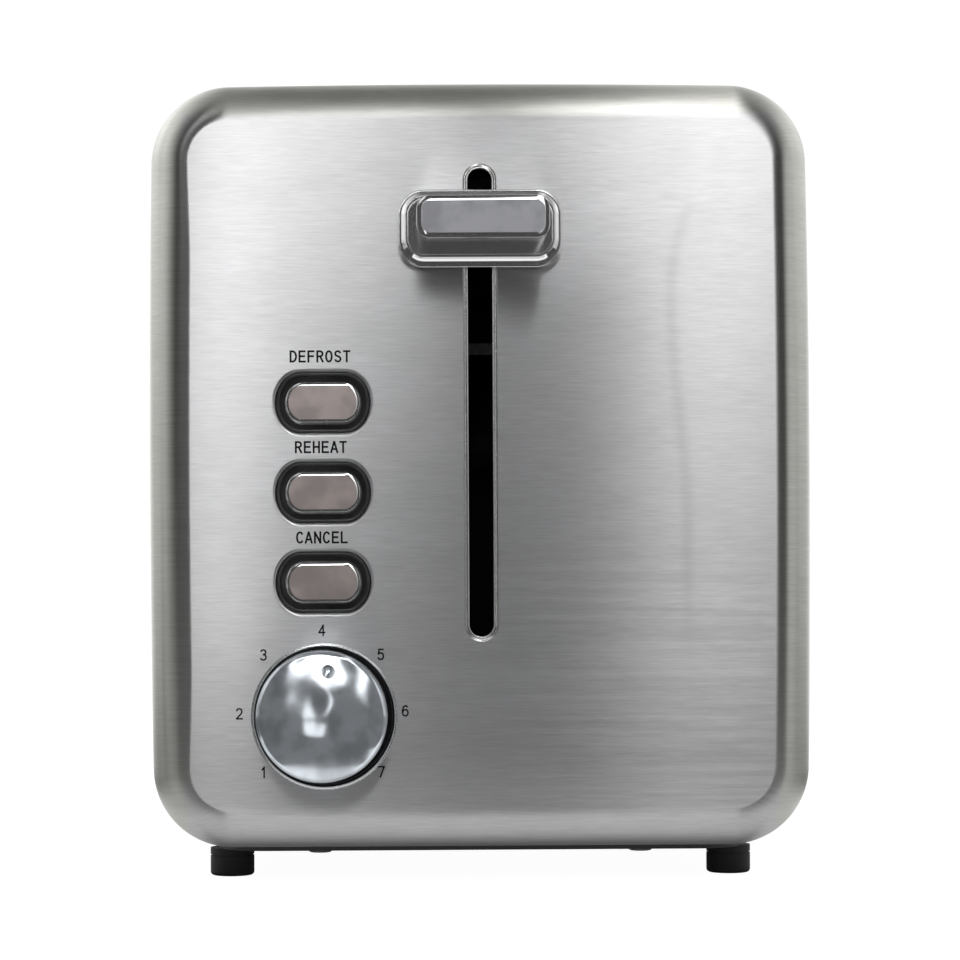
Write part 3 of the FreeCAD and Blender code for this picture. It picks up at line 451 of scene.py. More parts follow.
class Outline:
    """The body's section: four gently bowed sides joined by tangent corner arcs."""

    def __init__(self, inset=0.0):
        self.hw = hw = BODY_W / 2 - inset
        self.z0 = z0 = BODY_Z0 + inset
        z1, self.r = OVERALL_H - inset, CORNER_R - inset
        r = self.r
        zm, half_h, half_w = (z0 + z1) / 2, (z1 - z0) / 2 - r, hw - r
        self.rs = half_h ** 2 / (2 * SIDE_CROWN) + SIDE_CROWN / 2 + r
        self.rt = half_w ** 2 / (2 * TOP_CROWN) + TOP_CROWN / 2 + r
        self.cs, self.ct = (hw - self.rs, zm), (0.0, z1 - self.rt)
        a, b = self.rs - r, self.rt - r
        cx, cz = hw - r - 0.3, z1 - r - 0.3
        for _ in range(60):
            f1 = (cx - self.cs[0]) ** 2 + (cz - self.cs[1]) ** 2 - a * a
            f2 = (cx - self.ct[0]) ** 2 + (cz - self.ct[1]) ** 2 - b * b
            j11, j12 = 2 * (cx - self.cs[0]), 2 * (cz - self.cs[1])
            j21, j22 = 2 * (cx - self.ct[0]), 2 * (cz - self.ct[1])
            det = j11 * j22 - j12 * j21
            cx -= (f1 * j22 - f2 * j12) / det
            cz -= (j11 * f2 - j21 * f1) / det
        self.up = (cx, cz)
        lz = z0 + r
        self.lo = (self.cs[0] + math.sqrt(a * a - (lz - self.cs[1]) ** 2), lz)
        self.a_lo = math.atan2(lz - self.cs[1], self.lo[0] - self.cs[0])
        self.a_up = math.atan2(cz - self.cs[1], cx - self.cs[0])
        self.t_up = math.atan2(cz - self.ct[1], cx - self.ct[0])

    def loop(self, corner=40, side=28, top=28, bottom=20):
        right = arc(*self.lo, self.r, -math.pi / 2, self.a_lo, corner)[:-1]
        right += arc(*self.cs, self.rs, self.a_lo, self.a_up, side)[:-1]
        right += arc(*self.up, self.r, self.a_up, self.t_up, corner)[:-1]
        over = arc(*self.ct, self.rt, self.t_up, math.pi - self.t_up, top)
        left = [(-x, z, -nx, nz) for x, z, nx, nz in reversed(right)]
        lx = self.lo[0]
        under = [(-lx + 2 * lx * i / bottom, self.z0, 0.0, -1.0) for i in range(1, bottom)]
        return right + over + left + under

    def normal(self, x, z):
        """Unit outward normal of the parallel curve through x, z."""
        s = 1 if x >= 0 else -1
        x = abs(x)
        d = math.atan2(z - self.up[1], x - self.up[0])
        if x > self.up[0] - 2 and z > self.up[1] - 2 and self.a_up <= d <= self.t_up:
            c = self.up
        elif x > self.lo[0] and z < self.lo[1] and math.atan2(z - self.lo[1], x - self.lo[0]) <= self.a_lo:
            c = self.lo
        elif z < self.z0 + self.r and x <= self.lo[0]:
            return (0.0, -1.0)
        elif x / self.hw > (z - self.cs[1]) / (OVERALL_H / 2):
            c = self.cs
        else:
            c = self.ct
        nx, nz = x - c[0], z - c[1]
        k = math.hypot(nx, nz)
        return (s * nx / k, nz / k)


BODY = Outline()


# ------------------------------------------------------------------ profiles: (out, depth, n_out, n_depth)
def front_round(r, off=0.0, d=0.0, n=10):
    """From the face round to the wall: a convex edge of radius r."""
    return [(off - r + r * math.sin(t), d + r - r * math.cos(t), math.sin(t), -math.cos(t))
            for t in (math.pi / 2 * i / n for i in range(n + 1))]


def bead(w, h, lip, off=0.0, n=16):
    """A low pressed bead of width w and height h, followed by the lip that turns into the opening."""
    x = [w * i / n for i in range(n + 1)]
    b = []
    for v in x:
        g = -h * math.pi / w * math.sin(2 * math.pi * v / w)     # slope of the depth along v
        k = math.hypot(1.0, g)
        b.append((off + lip + w - v, -h * math.sin(math.pi * v / w) ** 2, g / k, -1.0 / k))
    return b + lip_in(lip, off, 0.0, 8)[1:]


def bevel(r, lo, hi, tip, off=0.0, d=0.0, n=8):
    """A softly bevelled edge: a crease, a flank of radius r whose slope runs lo to hi degrees, then a small round to the wall."""
    lo, hi = RAD(lo), RAD(hi)
    width = r * (math.sin(hi) - math.sin(lo)) + tip * (1 - math.sin(hi))
    y1 = r * (math.cos(lo) - math.cos(hi))
    a = [(off - width + r * (math.sin(t) - math.sin(lo)), d + r * (math.cos(lo) - math.cos(t)), math.sin(t), -math.cos(t))
         for t in (lo + (hi - lo) * i / n for i in range(n + 1))]
    b = [(off - tip + tip * math.sin(t), d + y1 + tip * (math.cos(hi) - math.cos(t)), math.sin(t), -math.cos(t))
         for t in (hi + (math.pi / 2 - hi) * i / 6 for i in range(7))]
    return a + b[1:], width


def lip_bevel(r, lo, hi, tip, off=0.0, d=0.0, n=8):
    """The same soft bevel turned inwards: a crease, a flank, and a small round down into the opening whose wall stands at off."""
    edge, width = bevel(r, lo, hi, tip, -off, d, n)
    return [(-o, dd, -a, b) for o, dd, a, b in edge], width


def back_round(r, off=0.0, d=0.0, n=8):
    """From the wall round to the back face."""
    return [(off - r + r * math.cos(t), d - r + r * math.sin(t), math.cos(t), math.sin(t))
            for t in (math.pi / 2 * i / n for i in range(n + 1))]


def lip_in(r, off=0.0, d=0.0, n=10):
    """From the face down into an opening whose wall stands at off."""
    return [(off + r - r * math.sin(t), d + r - r * math.cos(t), -math.sin(t), -math.cos(t))
            for t in (math.pi / 2 * i / n for i in range(n + 1))]


def wall(off, d0, d1, s=1):
    return [(off, d0, s, 0.0), (off, d1, s, 0.0)]


def ledge(o0, o1, d, s=-1):
    return [(o0, d, 0.0, s), (o1, d, 0.0, s)]


def flip(seg):
    return [(o, d, -a, -b) for o, d, a, b in seg]


# where a flat sketch sits: origin, its two axes, and the way depth runs
FRONT = (Vector((0, YF, 0)), Vector((1, 0, 0)), Vector((0, 0, 1)), Vector((0, 1, 0)))
REAR = (Vector((0, YR, 0)), Vector((1, 0, 0)), Vector((0, 0, 1)), Vector((0, -1, 0)))


def plan(z):
    """A sketch seen from above: x, and depth behind the front face; depth of the profile runs down."""
    return (Vector((0, YF, z)), Vector((1, 0, 0)), Vector((0, 1, 0)), Vector((0, 0, -1)))


class Skin:
    """Faces with their own corner normals and grain coordinates, gathered into closed meshes."""

    def __init__(self, place=FRONT):
        self.place = place
        self.v, self.key, self.f, self.n, self.uv, self.m = [], {}, [], [], [], []
        self.mat = 0

    def vid(self, p):
        k = (round(p[0], 4), round(p[1], 4), round(p[2], 4))
        i = self.key.get(k)
        if i is None:
            i = self.key[k] = len(self.v)
            self.v.append((p[0] * MM, p[1] * MM, p[2] * MM))
        return i

    def face(self, pts, nrm, uvs):
        ids = [self.vid(p) for p in pts]
        keep = [k for k in range(len(ids)) if ids[k] != ids[k - 1]]
        if len({ids[k] for k in keep}) < 3:
            return
        ids, pts, nrm, uvs = ([a[k] for k in keep] for a in (ids, pts, nrm, uvs))
        g = Vector((0, 0, 0))
        for k in range(1, len(pts) - 1):
            g += (pts[k] - pts[0]).cross(pts[k + 1] - pts[0])
        s = sum(nrm, Vector((0, 0, 0)))
        if g.dot(s) < 0:
            ids, nrm, uvs = ids[::-1], nrm[::-1], uvs[::-1]
        self.f.append(ids)
        self.n += nrm
        self.uv += uvs
        self.m.append(self.mat)

    def at(self, a, b, d):
        o, ax, bx, dx = self.place
        return o + ax * a + bx * b + dx * d

    def sweep(self, loop, *segments, closed=True):
        """The profile segments carried round the loop. Two loop points at one place make a sharp corner."""
        o, ax, bx, dx = self.place
        s, rows = 0.0, []
        last = None
        for seg in segments:
            row = []
            for out, d, no, nd in seg:
                if last is not None:
                    s += math.hypot(out - last[0], d - last[1])
                last = (out, d)
                row.append((out, d, no, nd, s))
            rows.append(row)
        count = len(loop) if closed else len(loop) - 1
        for row in rows:
            for p, q in zip(row, row[1:]):
                if abs(p[0] - q[0]) + abs(p[1] - q[1]) < 1e-7:
                    continue
                for i in range(count):
                    l0, l1 = loop[i], loop[(i + 1) % len(loop)]
                    pts, nrm, uvs = [], [], []
                    for (x, z, nx, nz), (out, d, no, nd, ss) in ((l0, p), (l1, p), (l1, q), (l0, q)):
                        pts.append(self.at(x + nx * out, z + nz * out, d))
                        v = (ax * nx + bx * nz) * no + dx * nd
                        nrm.append(v.normalized())
                        uvs.append((x + nx * ss, z + nz * ss))
                    self.face(pts, nrm, uvs)

    def cap(self, d, s, outer, *holes, warp=None):
        """A flat region at depth d, facing towards the viewer for s = -1 and away for s = 1."""
        polys = [[Vector((a, b, 0)) for a, b in outer]] + [[Vector((a, b, 0)) for a, b in h] for h in holes]
        flat = [p for poly in polys for p in poly]
        nrm = self.place[3] * s
        for tri in tessellate_polygon(polys):
            pts = [self.at(flat[i].x, flat[i].y, d) for i in tri]
            self.face(pts, [nrm] * 3, [(flat[i].x, flat[i].y) for i in tri])

    def build(self, name, body, mats, slot, *nodes):
        me = bpy.data.meshes.new(name)
        me.from_pydata(self.v, [], self.f)
        me.polygons.foreach_set("use_smooth", [True] * len(me.polygons))
        me.polygons.foreach_set("material_index", self.m)
        uv = me.uv_layers.new(name="grain")
        uv.data.foreach_set("uv", [c for p in self.uv for c in p])
        for mt in mats if isinstance(mats, (list, tuple)) else [mats]:
            me.materials.append(mt)
        me.normals_split_custom_set([tuple(v) for v in self.n])
        ob = bpy.data.objects.new(name, me)
        SCENE.collection.objects.link(ob)
        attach(ob, body)
        if nodes:
            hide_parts(*nodes)
        return ob


def ring(loop, off=0.0):
    """The loop's points moved out by off, with repeats dropped, for a cap."""
    out = []
    for x, z, nx, nz in loop:
        p = (x + nx * off, z + nz * off)
        if not out or math.hypot(p[0] - out[-1][0], p[1] - out[-1][1]) > 1e-5:
            out.append(p)
    if math.hypot(out[0][0] - out[-1][0], out[0][1] - out[-1][1]) < 1e-5:
        out.pop()
    return out


# ------------------------------------------------------------------ front cover
SLOT_MID, SLOT_LEN = (SLOT_Z0 + SLOT_Z1) / 2, SLOT_Z1 - SLOT_Z0


def widen_left(k):
    """The left edge is rolled about 1 mm wider than the right: the inner part of its curve eases in towards the face."""
    shift = 0.00115

    def step(t):
        t = min(1.0, max(0.0, t))
        return t * t * (3 - 2 * t)

    def amount(x, z):
        return (step((-0.060 - x) / 0.0116) if x > -0.0716 else step((x + 0.0778) / 0.0062)) * step((0.184 - z) / 0.036) * step((z - 0.018) / 0.036)

    e = 1e-6
    at = [tuple(v) for v in k.v]
    i = 0
    for f in k.f:
        for j in f:
            x, _, z = at[j]
            a = 1 + shift * (amount(x + e, z) - amount(x - e, z)) / (2 * e) if -0.0778 < x < -0.0716 else 1.0
            c = shift * (amount(x, z + e) - amount(x, z - e)) / (2 * e)
            nx, ny, nz = k.n[i]
            k.n[i] = Vector((nx / a, ny, nz - c * nx / a)).normalized()
            i += 1
    k.v = [(x + shift * amount(x, z), y, z) for x, y, z in at]


def front_cover():
    k = Skin()
    o = BODY.loop()
    inner = [(out, d, -a, -b) for out, d, a, b in reversed(
        [(-EDGE_R + (EDGE_R - COVER_T) * math.sin(t), EDGE_R - (EDGE_R - COVER_T) * math.cos(t), math.sin(t), -math.cos(t))
         for t in (math.pi / 2 * i / 14 for i in range(15))])]
    k.sweep(o, front_round(EDGE_R, n=28) + [(0, COVER_DEPTH, 1, 0)],
            ledge(0, -COVER_T, COVER_DEPTH, 1),
            [(-COVER_T, COVER_DEPTH, -1, 0)] + inner)
    holes = [(rrect(SLOT_W, SLOT_LEN, SLOT_W / 2, 0, SLOT_MID, 20), SLOT_LIP, 3.0, bead(0.95, 0.24, SLOT_LIP - 0.90)),
             (circle(KNOB_OPEN_R, DISH_X, DISH_Z, 128), KNOB_LIP, 2.4, bead(0.50, 0.05, KNOB_LIP - 0.50))]
    holes += [(oval(WELL_W, WELL_H, WELL_END, BUTTON_X, z), WELL_LIP, 2.4, lip_in(WELL_LIP, n=12)) for z in BUTTON_Z.values()]
    for i, (loop, lip, depth, edge) in enumerate(holes):
        k.mat = 1 if i < 2 else 0            # the tool leaves these two lips burnished
        k.sweep(loop, edge)
        k.mat = 0
        k.sweep(loop, [edge[-1], (0, depth, -1, 0)], ledge(0, 0.8, depth, 1), wall(0.8, depth, COVER_T, 1))
    k.cap(0.0, -1, ring(o, -EDGE_R), *[ring(l, edge[0][0]) for l, _, _, edge in holes])
    k.cap(COVER_T, 1, ring(o, -EDGE_R), *[ring(l, 0.8) for l, _, _, _ in holes])
    widen_left(k)
    return k.build("front_cover_steel", "housing", [STEEL_FRONT_PAINTED_LIGHT, STEEL_LIP], "steel_brushed", "front_cover")


# ------------------------------------------------------------------ copies of CAD sheets with true normals
def smooth_copy(node, name, body, mat, true_normal, grain):
    """A copy of a CAD sheet whose curved faces carry the normals of the true surface, and whose vertices are joined up."""
    src = NODES[node]
    bm = bmesh.new()
    bm.from_mesh(src.data)
    bmesh.ops.remove_doubles(bm, verts=bm.verts, dist=2e-6)
    me = bpy.data.meshes.new(name)
    bm.to_mesh(me)
    bm.free()
    me.materials.clear()
    me.materials.append(mat)
    me.polygons.foreach_set("use_smooth", [True] * len(me.polygons))
    for layer in list(me.uv_layers):
        me.uv_layers.remove(layer)
    uv = me.uv_layers.new(name="grain")
    normals = [None] * len(me.loops)
    for poly in me.polygons:
        fn = poly.normal.copy()
        for li in poly.loop_indices:
            p = me.vertices[me.loops[li].vertex_index].co / MM
            t = true_normal(p, fn)
            normals[li] = tuple(t) if t is not None else tuple(fn)
            uv.data[li].uv = grain(p, fn)
    me.normals_split_custom_set(normals)
    ob = bpy.data.objects.new(name, me)
    SCENE.collection.objects.link(ob)
    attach(ob, body)
    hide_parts(node)
    return ob


def cover_normal(p, fn):
    """Rear cover: the outline's walls, and the rolled edge round the rear face."""
    nx, nz = BODY.normal(p.x, p.z)
    w = YR - p.y
    for r in (EDGE_R, EDGE_R - COVER_T):
        if w <= EDGE_R:
            c = max(-1.0, min(1.0, (EDGE_R - w) / r))
            s = math.sqrt(1 - c * c)
            v = Vector((nx * s, c, nz * s))
        else:
            v = Vector((nx, 0, nz))
        for sgn in (1, -1):
            if (v * sgn).dot(fn) > 0.965:
                return v * sgn
    return None


def cover_grain(p, fn):
    nx, nz = BODY.normal(p.x, p.z)
    w = min(YR - p.y, EDGE_R)
    s = EDGE_R * math.asin(max(0.0, min(1.0, 1 - max(0.0, EDGE_R - w) / EDGE_R))) if w > 0 else 0.0
    s += max(0.0, YR - p.y - EDGE_R)
    return (p.x + nx * s, p.z + nz * s)


def wrap_normal(p, fn):
    nx, nz = WRAP.normal(p.x, p.z)
    v = Vector((nx, 0, nz))
    for sgn in (1, -1):
        if (v * sgn).dot(fn) > 0.965:
            return v * sgn
    return None


WRAP = Outline(0.9)


def wrap_grain(p, fn):
    """Brush lines run along the body; across them is the way round the section."""
    a = WRAP
    s = 1 if p.x >= 0 else -1
    x = abs(p.x)
    if p.z > a.up[1] and x > a.up[0]:
        t = a.up[0] + a.r * (math.pi / 2 - math.atan2(p.z - a.up[1], x - a.up[0]))
    elif p.z > a.up[1]:
        t = x
    else:
        t = a.up[0] + a.r * math.pi / 2 + a.up[1] - p.z
    return (p.y, s * t)


# ------------------------------------------------------------------ wells, knob dish, push buttons
def button_bezel():
    k = Skin()
    plate = rrect(30.0, 66.0, 4.0, BUTTON_X, 94.7)
    bosses, bores = [], []
    for z in BUTTON_Z.values():
        boss = oval(WELL_W - 0.1, WELL_H - 0.1, WELL_END - 0.05, BUTTON_X, z)
        rec = oval(WELL_W - 1.9, WELL_H - 1.9, WELL_END - 0.95, BUTTON_X, z)
        bore = oval(BUTTON_W + 0.7, BUTTON_H + 0.7, BUTTON_END + 0.35, BUTTON_X, z)
        k.sweep(boss, front_round(0.35, 0, 0.75, 6) + [(0, 3.2, 1, 0)])
        k.cap(0.75, -1, ring(boss, -0.35), ring(rec, 0.35))
        k.sweep(rec, lip_in(0.35, 0, 0.75, 6) + [(0, 3.9, -1, 0)])
        k.cap(3.9, -1, ring(rec), ring(bore))
        k.sweep(bore, wall(0, 3.9, 5.2, -1))
        bosses.append(ring(boss))
        bores.append(ring(bore))
    k.cap(3.2, -1, ring(plate), *bosses)
    k.sweep(plate, wall(0, 3.2, 5.2))
    k.cap(5.2, 1, ring(plate), *bores)
    return k.build("button_bezel_moulding", "housing", BLACK_BEZEL, "black_gloss", "button_bezel")


def knob_dish():
    k = Skin()
    rim, plate = circle(KNOB_OPEN_R - 0.05, DISH_X, DISH_Z, 128), circle(KNOB_OPEN_R + 3.0, DISH_X, DISH_Z, 96)
    rec, bore = circle(KNOB_OPEN_R - 0.8, DISH_X, DISH_Z, 128), circle(4.6, KNOB_X, KNOB_Z, 48)
    k.sweep(rim, front_round(0.3, 0, 1.0, 5) + [(0, 2.6, 1, 0)])
    k.cap(1.0, -1, ring(rim, -0.3), ring(rec, 0.3))
    k.sweep(rec, lip_in(0.3, 0, 1.0, 5) + [(0, 3.6, -1, 0)])
    k.cap(3.6, -1, ring(rec), ring(bore))
    k.sweep(bore, wall(0, 3.6, 5.0, -1))
    k.cap(2.6, -1, ring(plate), ring(rim))
    k.sweep(plate, wall(0, 2.6, 5.0))
    k.cap(5.0, 1, ring(plate), ring(bore))
    return k.build("knob_dish_moulding", "housing", BLACK_GLOSS, "black_gloss", "knob_bezel")


def push_button(name, z):
    k = Skin()
    face = oval(BUTTON_W, BUTTON_H, BUTTON_END, BUTTON_X, z, 32)
    edge, width = bevel(2.2, 9, 25, 0.2, 0, -1.0)
    # the face takes the brownish chrome copy: a painted reflection
    k.mat = 1
    k.cap(-1.0, -1, ring(face, -width))
    k.mat = 0
    k.sweep(face, edge + [(0, 5.5, 1, 0)], ledge(0, 1.3, 5.5, -1), wall(1.3, 5.5, 7.0))
    stem, tip = rrect(6.0, 3.0, 0.0, BUTTON_X, z), circle(1.6, BUTTON_X, z, 24)
    stem_in = ring(stem)
    k.cap(7.0, 1, ring(face, 1.3), stem_in)
    k.sweep(stem, wall(0, 7.0, 12.5))
    # the round plunger is a shade narrower than the stem's 3 mm, so that its ring lies inside the stem's end
    tip = circle(1.45, BUTTON_X, z, 24)
    k.cap(12.5, 1, stem_in, ring(tip))
    k.sweep(tip, wall(0, 12.5, 16.8), back_round(0.2, 0, 17.0, 3))
    k.cap(17.0, 1, ring(tip, -0.2))
    return k.build("button_%s_cap" % name, name + "_button", [CHROME_LEVER, CHROME_BUTTON_PAINTED_REFLECTION], "chrome", "button_" + name)


# ------------------------------------------------------------------ browning knob
def browning_knob():
    k = Skin((Vector((KNOB_X, YF, KNOB_Z)), Vector((1, 0, 0)), Vector((0, 0, 1)), Vector((0, 1, 0))))
    rim, t82 = 1.6, RAD(90 - KNOB_EDGE)
    rc = KNOB_R - rim
    r_end = rc + rim * math.cos(t82)
    d_end = -KNOB_OUT + r_end * math.tan(RAD(KNOB_EDGE) / 2)
    dc = d_end + rim * math.sin(t82)
    sag = d_end + KNOB_OUT
    dome = (r_end ** 2 + sag ** 2) / (2 * sag)
    px, pz = 11.0 * math.sin(RAD(9)), 11.0 * math.cos(RAD(9))
    # pointer dimple: a ball cut with a softened rim
    ball, depth, soft = 2.35, 0.63, 0.22
    r_cut = math.sqrt(ball ** 2 - (ball - depth) ** 2)

    def pit(rho):
        """Depth below the dome and its slope, at rho from the dimple's axis."""
        a = math.asin(min(0.999, r_cut / ball))          # slope angle at the sharp rim
        # the ball meets a rim fillet of radius soft at angle a
        x_t = r_cut + soft * math.tan(a / 2) - soft * math.sin(a)
        x_e = r_cut + soft * math.tan(a / 2)
        if rho >= x_e:
            return 0.0, 0.0
        if rho >= x_t:
            u = x_e - rho
            h = soft - math.sqrt(max(0.0, soft ** 2 - u ** 2))
            return h, -u / math.sqrt(soft ** 2 - u ** 2)
        h = math.sqrt(ball ** 2 - rho ** 2) - (ball - depth)
        return h, -rho / math.sqrt(ball ** 2 - rho ** 2)

    def top(x, z):
        r2 = x * x + z * z
        d = -KNOB_OUT + dome - math.sqrt(dome ** 2 - r2)
        gx, gz = x / math.sqrt(dome ** 2 - r2), z / math.sqrt(dome ** 2 - r2)
        ex, ez = x - px, z - pz
        rho = math.hypot(ex, ez)
        h, s = pit(rho)
        if rho > 1e-9:
            gx += s * ex / rho
            gz += s * ez / rho
        return d + h, Vector((gx, -1.0, gz)).normalized()

    pts, edges = [], []

    def add_ring(cx, cz, r, n, keep=None, bound=False):
        first = len(pts)
        for i in range(n):
            a = 2 * math.pi * i / n
            p = Vector((cx + r * math.cos(a), cz + r * math.sin(a)))
            if keep is None or keep(p):
                pts.append(p)
        if bound:
            edges.extend((first + i, first + (i + 1) % n) for i in range(n))

    n_rim = 128
    add_ring(0, 0, r_end, n_rim, bound=True)
    far = lambda p: math.hypot(p.x - px, p.y - pz) > 2.3
    for r, n in ((13.4, 96), (12.2, 84), (10.8, 72), (9.2, 60), (7.4, 48), (5.4, 36), (3.4, 24), (1.6, 12)):
        add_ring(0, 0, r, n, far)
    pts.append(Vector((0.0, 0.0)))
    for r, n in ((2.1, 48), (1.98, 48), (1.90, 48), (1.82, 48), (1.74, 48), (1.66, 48), (1.56, 48), (1.4, 40), (1.15, 32), (0.85, 24), (0.5, 16), (0.2, 8)):
        add_ring(px, pz, r, n, lambda p: math.hypot(p.x, p.y) < r_end - 0.05)
    pts.append(Vector((px, pz)))
    vs, _, fs = delaunay_2d_cdt(pts, edges, [], 1, 1e-6)[:3]
    for f in fs:
        q, nn = [], []
        for i in f:
            d, nv = top(vs[i].x, vs[i].y)
            q.append(k.at(vs[i].x, vs[i].y, d))
            nn.append(nv)
        k.face(q, nn, [(vs[i].x, vs[i].y) for i in f])

    c = circle(1.0, 0, 0, n_rim)                     # unit circle: out is the radius less 1
    rimseg = [(rc + rim * math.cos(t) - 1, dc - rim * math.sin(t), math.cos(t), -math.sin(t))
              for t in (t82 * (1 - i / 14) for i in range(15))]
    k.sweep(c, rimseg + [(KNOB_R - 1, 0.3 - 0.25, 1, 0)],
            back_round(0.25, KNOB_R - 1, 0.3, 4) + [(14.2 - 1, 0.3, 0, 1)],
            [(14.2 - 1, 0.3, -1, 0), (14.2 - 1, -9.6, -1, 0)],
            [(14.2 - 1, -9.6, 0, 1), (4.0 - 1, -11.0, 0, 1)],
            [(4.0 - 1, -11.0, 1, 0), (4.0 - 1, 3.2, 1, 0)],
            [(4.0 - 1, 3.2, 0, 1), (3.0 - 1, 3.2, 0, 1)],
            [(3.0 - 1, 3.2, -1, 0), (3.0 - 1, -9.0, -1, 0)])
    k.cap(-9.0, 1, ring(c, 2.0))
    return k.build("browning_knob_cap", "knob", CHROME_KNOB, "chrome", "browning_knob")


# ------------------------------------------------------------------ lever
def lever_flange():
    """A base lip, a rim whose flank slopes up from it, and the recess that the handle stands in."""
    k = Skin()
    o = rrect(39.9, 18.9, 6.4, 0, 158.35, 20)
    c = rrect(38.1, 16.8, 5.6, 0, 158.75, 20)
    w = rrect(34.6, 13.2, 4.0, 0, 158.7, 20)
    k.cap(-0.5, 1, ring(o))
    k.sweep(o, front_round(0.45, 0, -2.85, 8) + [(0, -0.5, 1, 0)])
    k.cap(-2.85, -1, ring(o, -0.45), ring(c, 0.0))
    # the flank: a little hollow at its foot, then an even slope that rolls over at the top
    t0, t1 = RAD(48), RAD(38)
    r1 = 0.20
    flank = [(-r1 + r1 * math.sin(t), -3.8 + r1 - r1 * math.cos(t), math.sin(t), -math.cos(t)) for t in (t0 * i / 6 for i in range(7))]
    top = flank[-1]
    rise = top[1] + 2.85                     # what is left down to the lip
    n, pts = 8, []
    for i in range(n + 1):
        u = i / n
        t = t0 + (t1 - t0) * u
        pts.append((u, t))
    width = abs(rise) / math.tan((t0 + t1) / 2)
    x0 = -width
    seg = [(o_ + x0 - flank[-1][0], d_, a_, b_) for o_, d_, a_, b_ in flank]
    x, d, last = seg[-1][0], seg[-1][1], t0
    body = []
    for u, t in pts[1:]:
        m = (last + t) / 2
        x += width / n
        d += (width / n) * math.tan(m)
        body.append((x, d, math.sin(t), -math.cos(t)))
        last = t
    scale = (-2.85 - seg[-1][1]) / (body[-1][1] - seg[-1][1])
    body = [(xx, seg[-1][1] + (dd - seg[-1][1]) * scale, aa, bb) for xx, dd, aa, bb in body]
    k.sweep(c, seg + body)
    inner = -seg[0][0]
    k.cap(-3.8, -1, ring(c, -inner), ring(w, 0.35))
    k.sweep(w, lip_in(0.35, 0, -3.8, 8) + [(0, -2.0, -1, 0)])
    k.cap(-2.0, -1, ring(w))
    return k.build("lever_flange_chrome", "carriage", CHROME_LEVER, "chrome", "lever_flange")


def lever_handle():
    k = Skin()
    o = rrect(31.4, 10.0, 3.2, 0.2, 158.75, 16)
    edge, width = bevel(4.2, 9, 24, 0.25, 0, -25.0)
    # the face takes the darker chrome copy: painted shade
    k.mat = 1
    k.cap(-25.0, -1, ring(o, -width))
    k.mat = 0
    k.sweep(o, edge + [(0, -2.0, 1, 0)])
    k.cap(-2.0, 1, ring(o))
    return k.build("lever_handle_chrome", "carriage", [CHROME_LEVER, CHROME_BLOCK_PAINTED_SHADE], "chrome", "lever_handle")


# ------------------------------------------------------------------ slot trims, feet, springs
def slot_trim(side, s):
    k = Skin(plan(195.0))
    mid = 148.0
    rim = rrect(43.0, 155.0, 7.5, s * 28.0, mid, 16)
    neck = rrect(38.6, 150.6, 5.3, s * 28.0, mid, 16)
    hole = rrect(36.0, 148.0, 4.0, s * 28.0, mid, 16)
    k.cap(0.0, -1, ring(rim, -0.6), ring(hole, 0.5))
    k.sweep(rim, front_round(0.6, 0, 0, 8) + [(0, 0.9, 1, 0)])
    k.cap(0.9, 1, ring(rim), ring(neck))
    k.sweep(neck, wall(0, 0.9, 11.0))
    k.cap(11.0, 1, ring(neck), ring(hole))
    k.sweep(hole, lip_in(0.5, 0, 0, 6) + [(0, 11.0, -1, 0)])
    return k.build("slot_trim_%s_frame" % side, "housing", STEEL, "steel_brushed", "slot_trim_" + side)


def feet():
    k = Skin(plan(0.0))
    k.place = (Vector((0, YF, 0)), Vector((1, 0, 0)), Vector((0, 1, 0)), Vector((0, 0, 1)))
    for x in (-61.9, 61.9):
        for d in (23.0, 245.0):
            c = circle(5.45, x, d, 64)
            k.cap(0.25, -1, ring(c, -2.6))
            k.sweep(c, [(-2.6, 0.25, 1, 0), (-2.6, 0.0, 1, 0)], ledge(-2.6, -0.9, 0.0, -1),
                    front_round(0.9, 0, 0.0, 8) + [(0, 4.9, 1, 0)],
                    [(0, 4.9, 0, 1), (-0.25, 4.9, 0, 1)], [(-0.25, 4.9, 1, 0), (-0.25, 5.3, 1, 0)], [(-0.25, 5.3, 0, -1), (0, 5.3, 0, -1)],
                    wall(0, 5.3, 6.9), [(0, 6.9, 0, 1), (-3.0, 6.9, 0, 1)], wall(-3.0, 6.9, 8.05))
            k.cap(8.05, 1, ring(c, -3.0))
    return k.build("feet_rubber", "housing", RUBBER, "rubber_black", "feet")


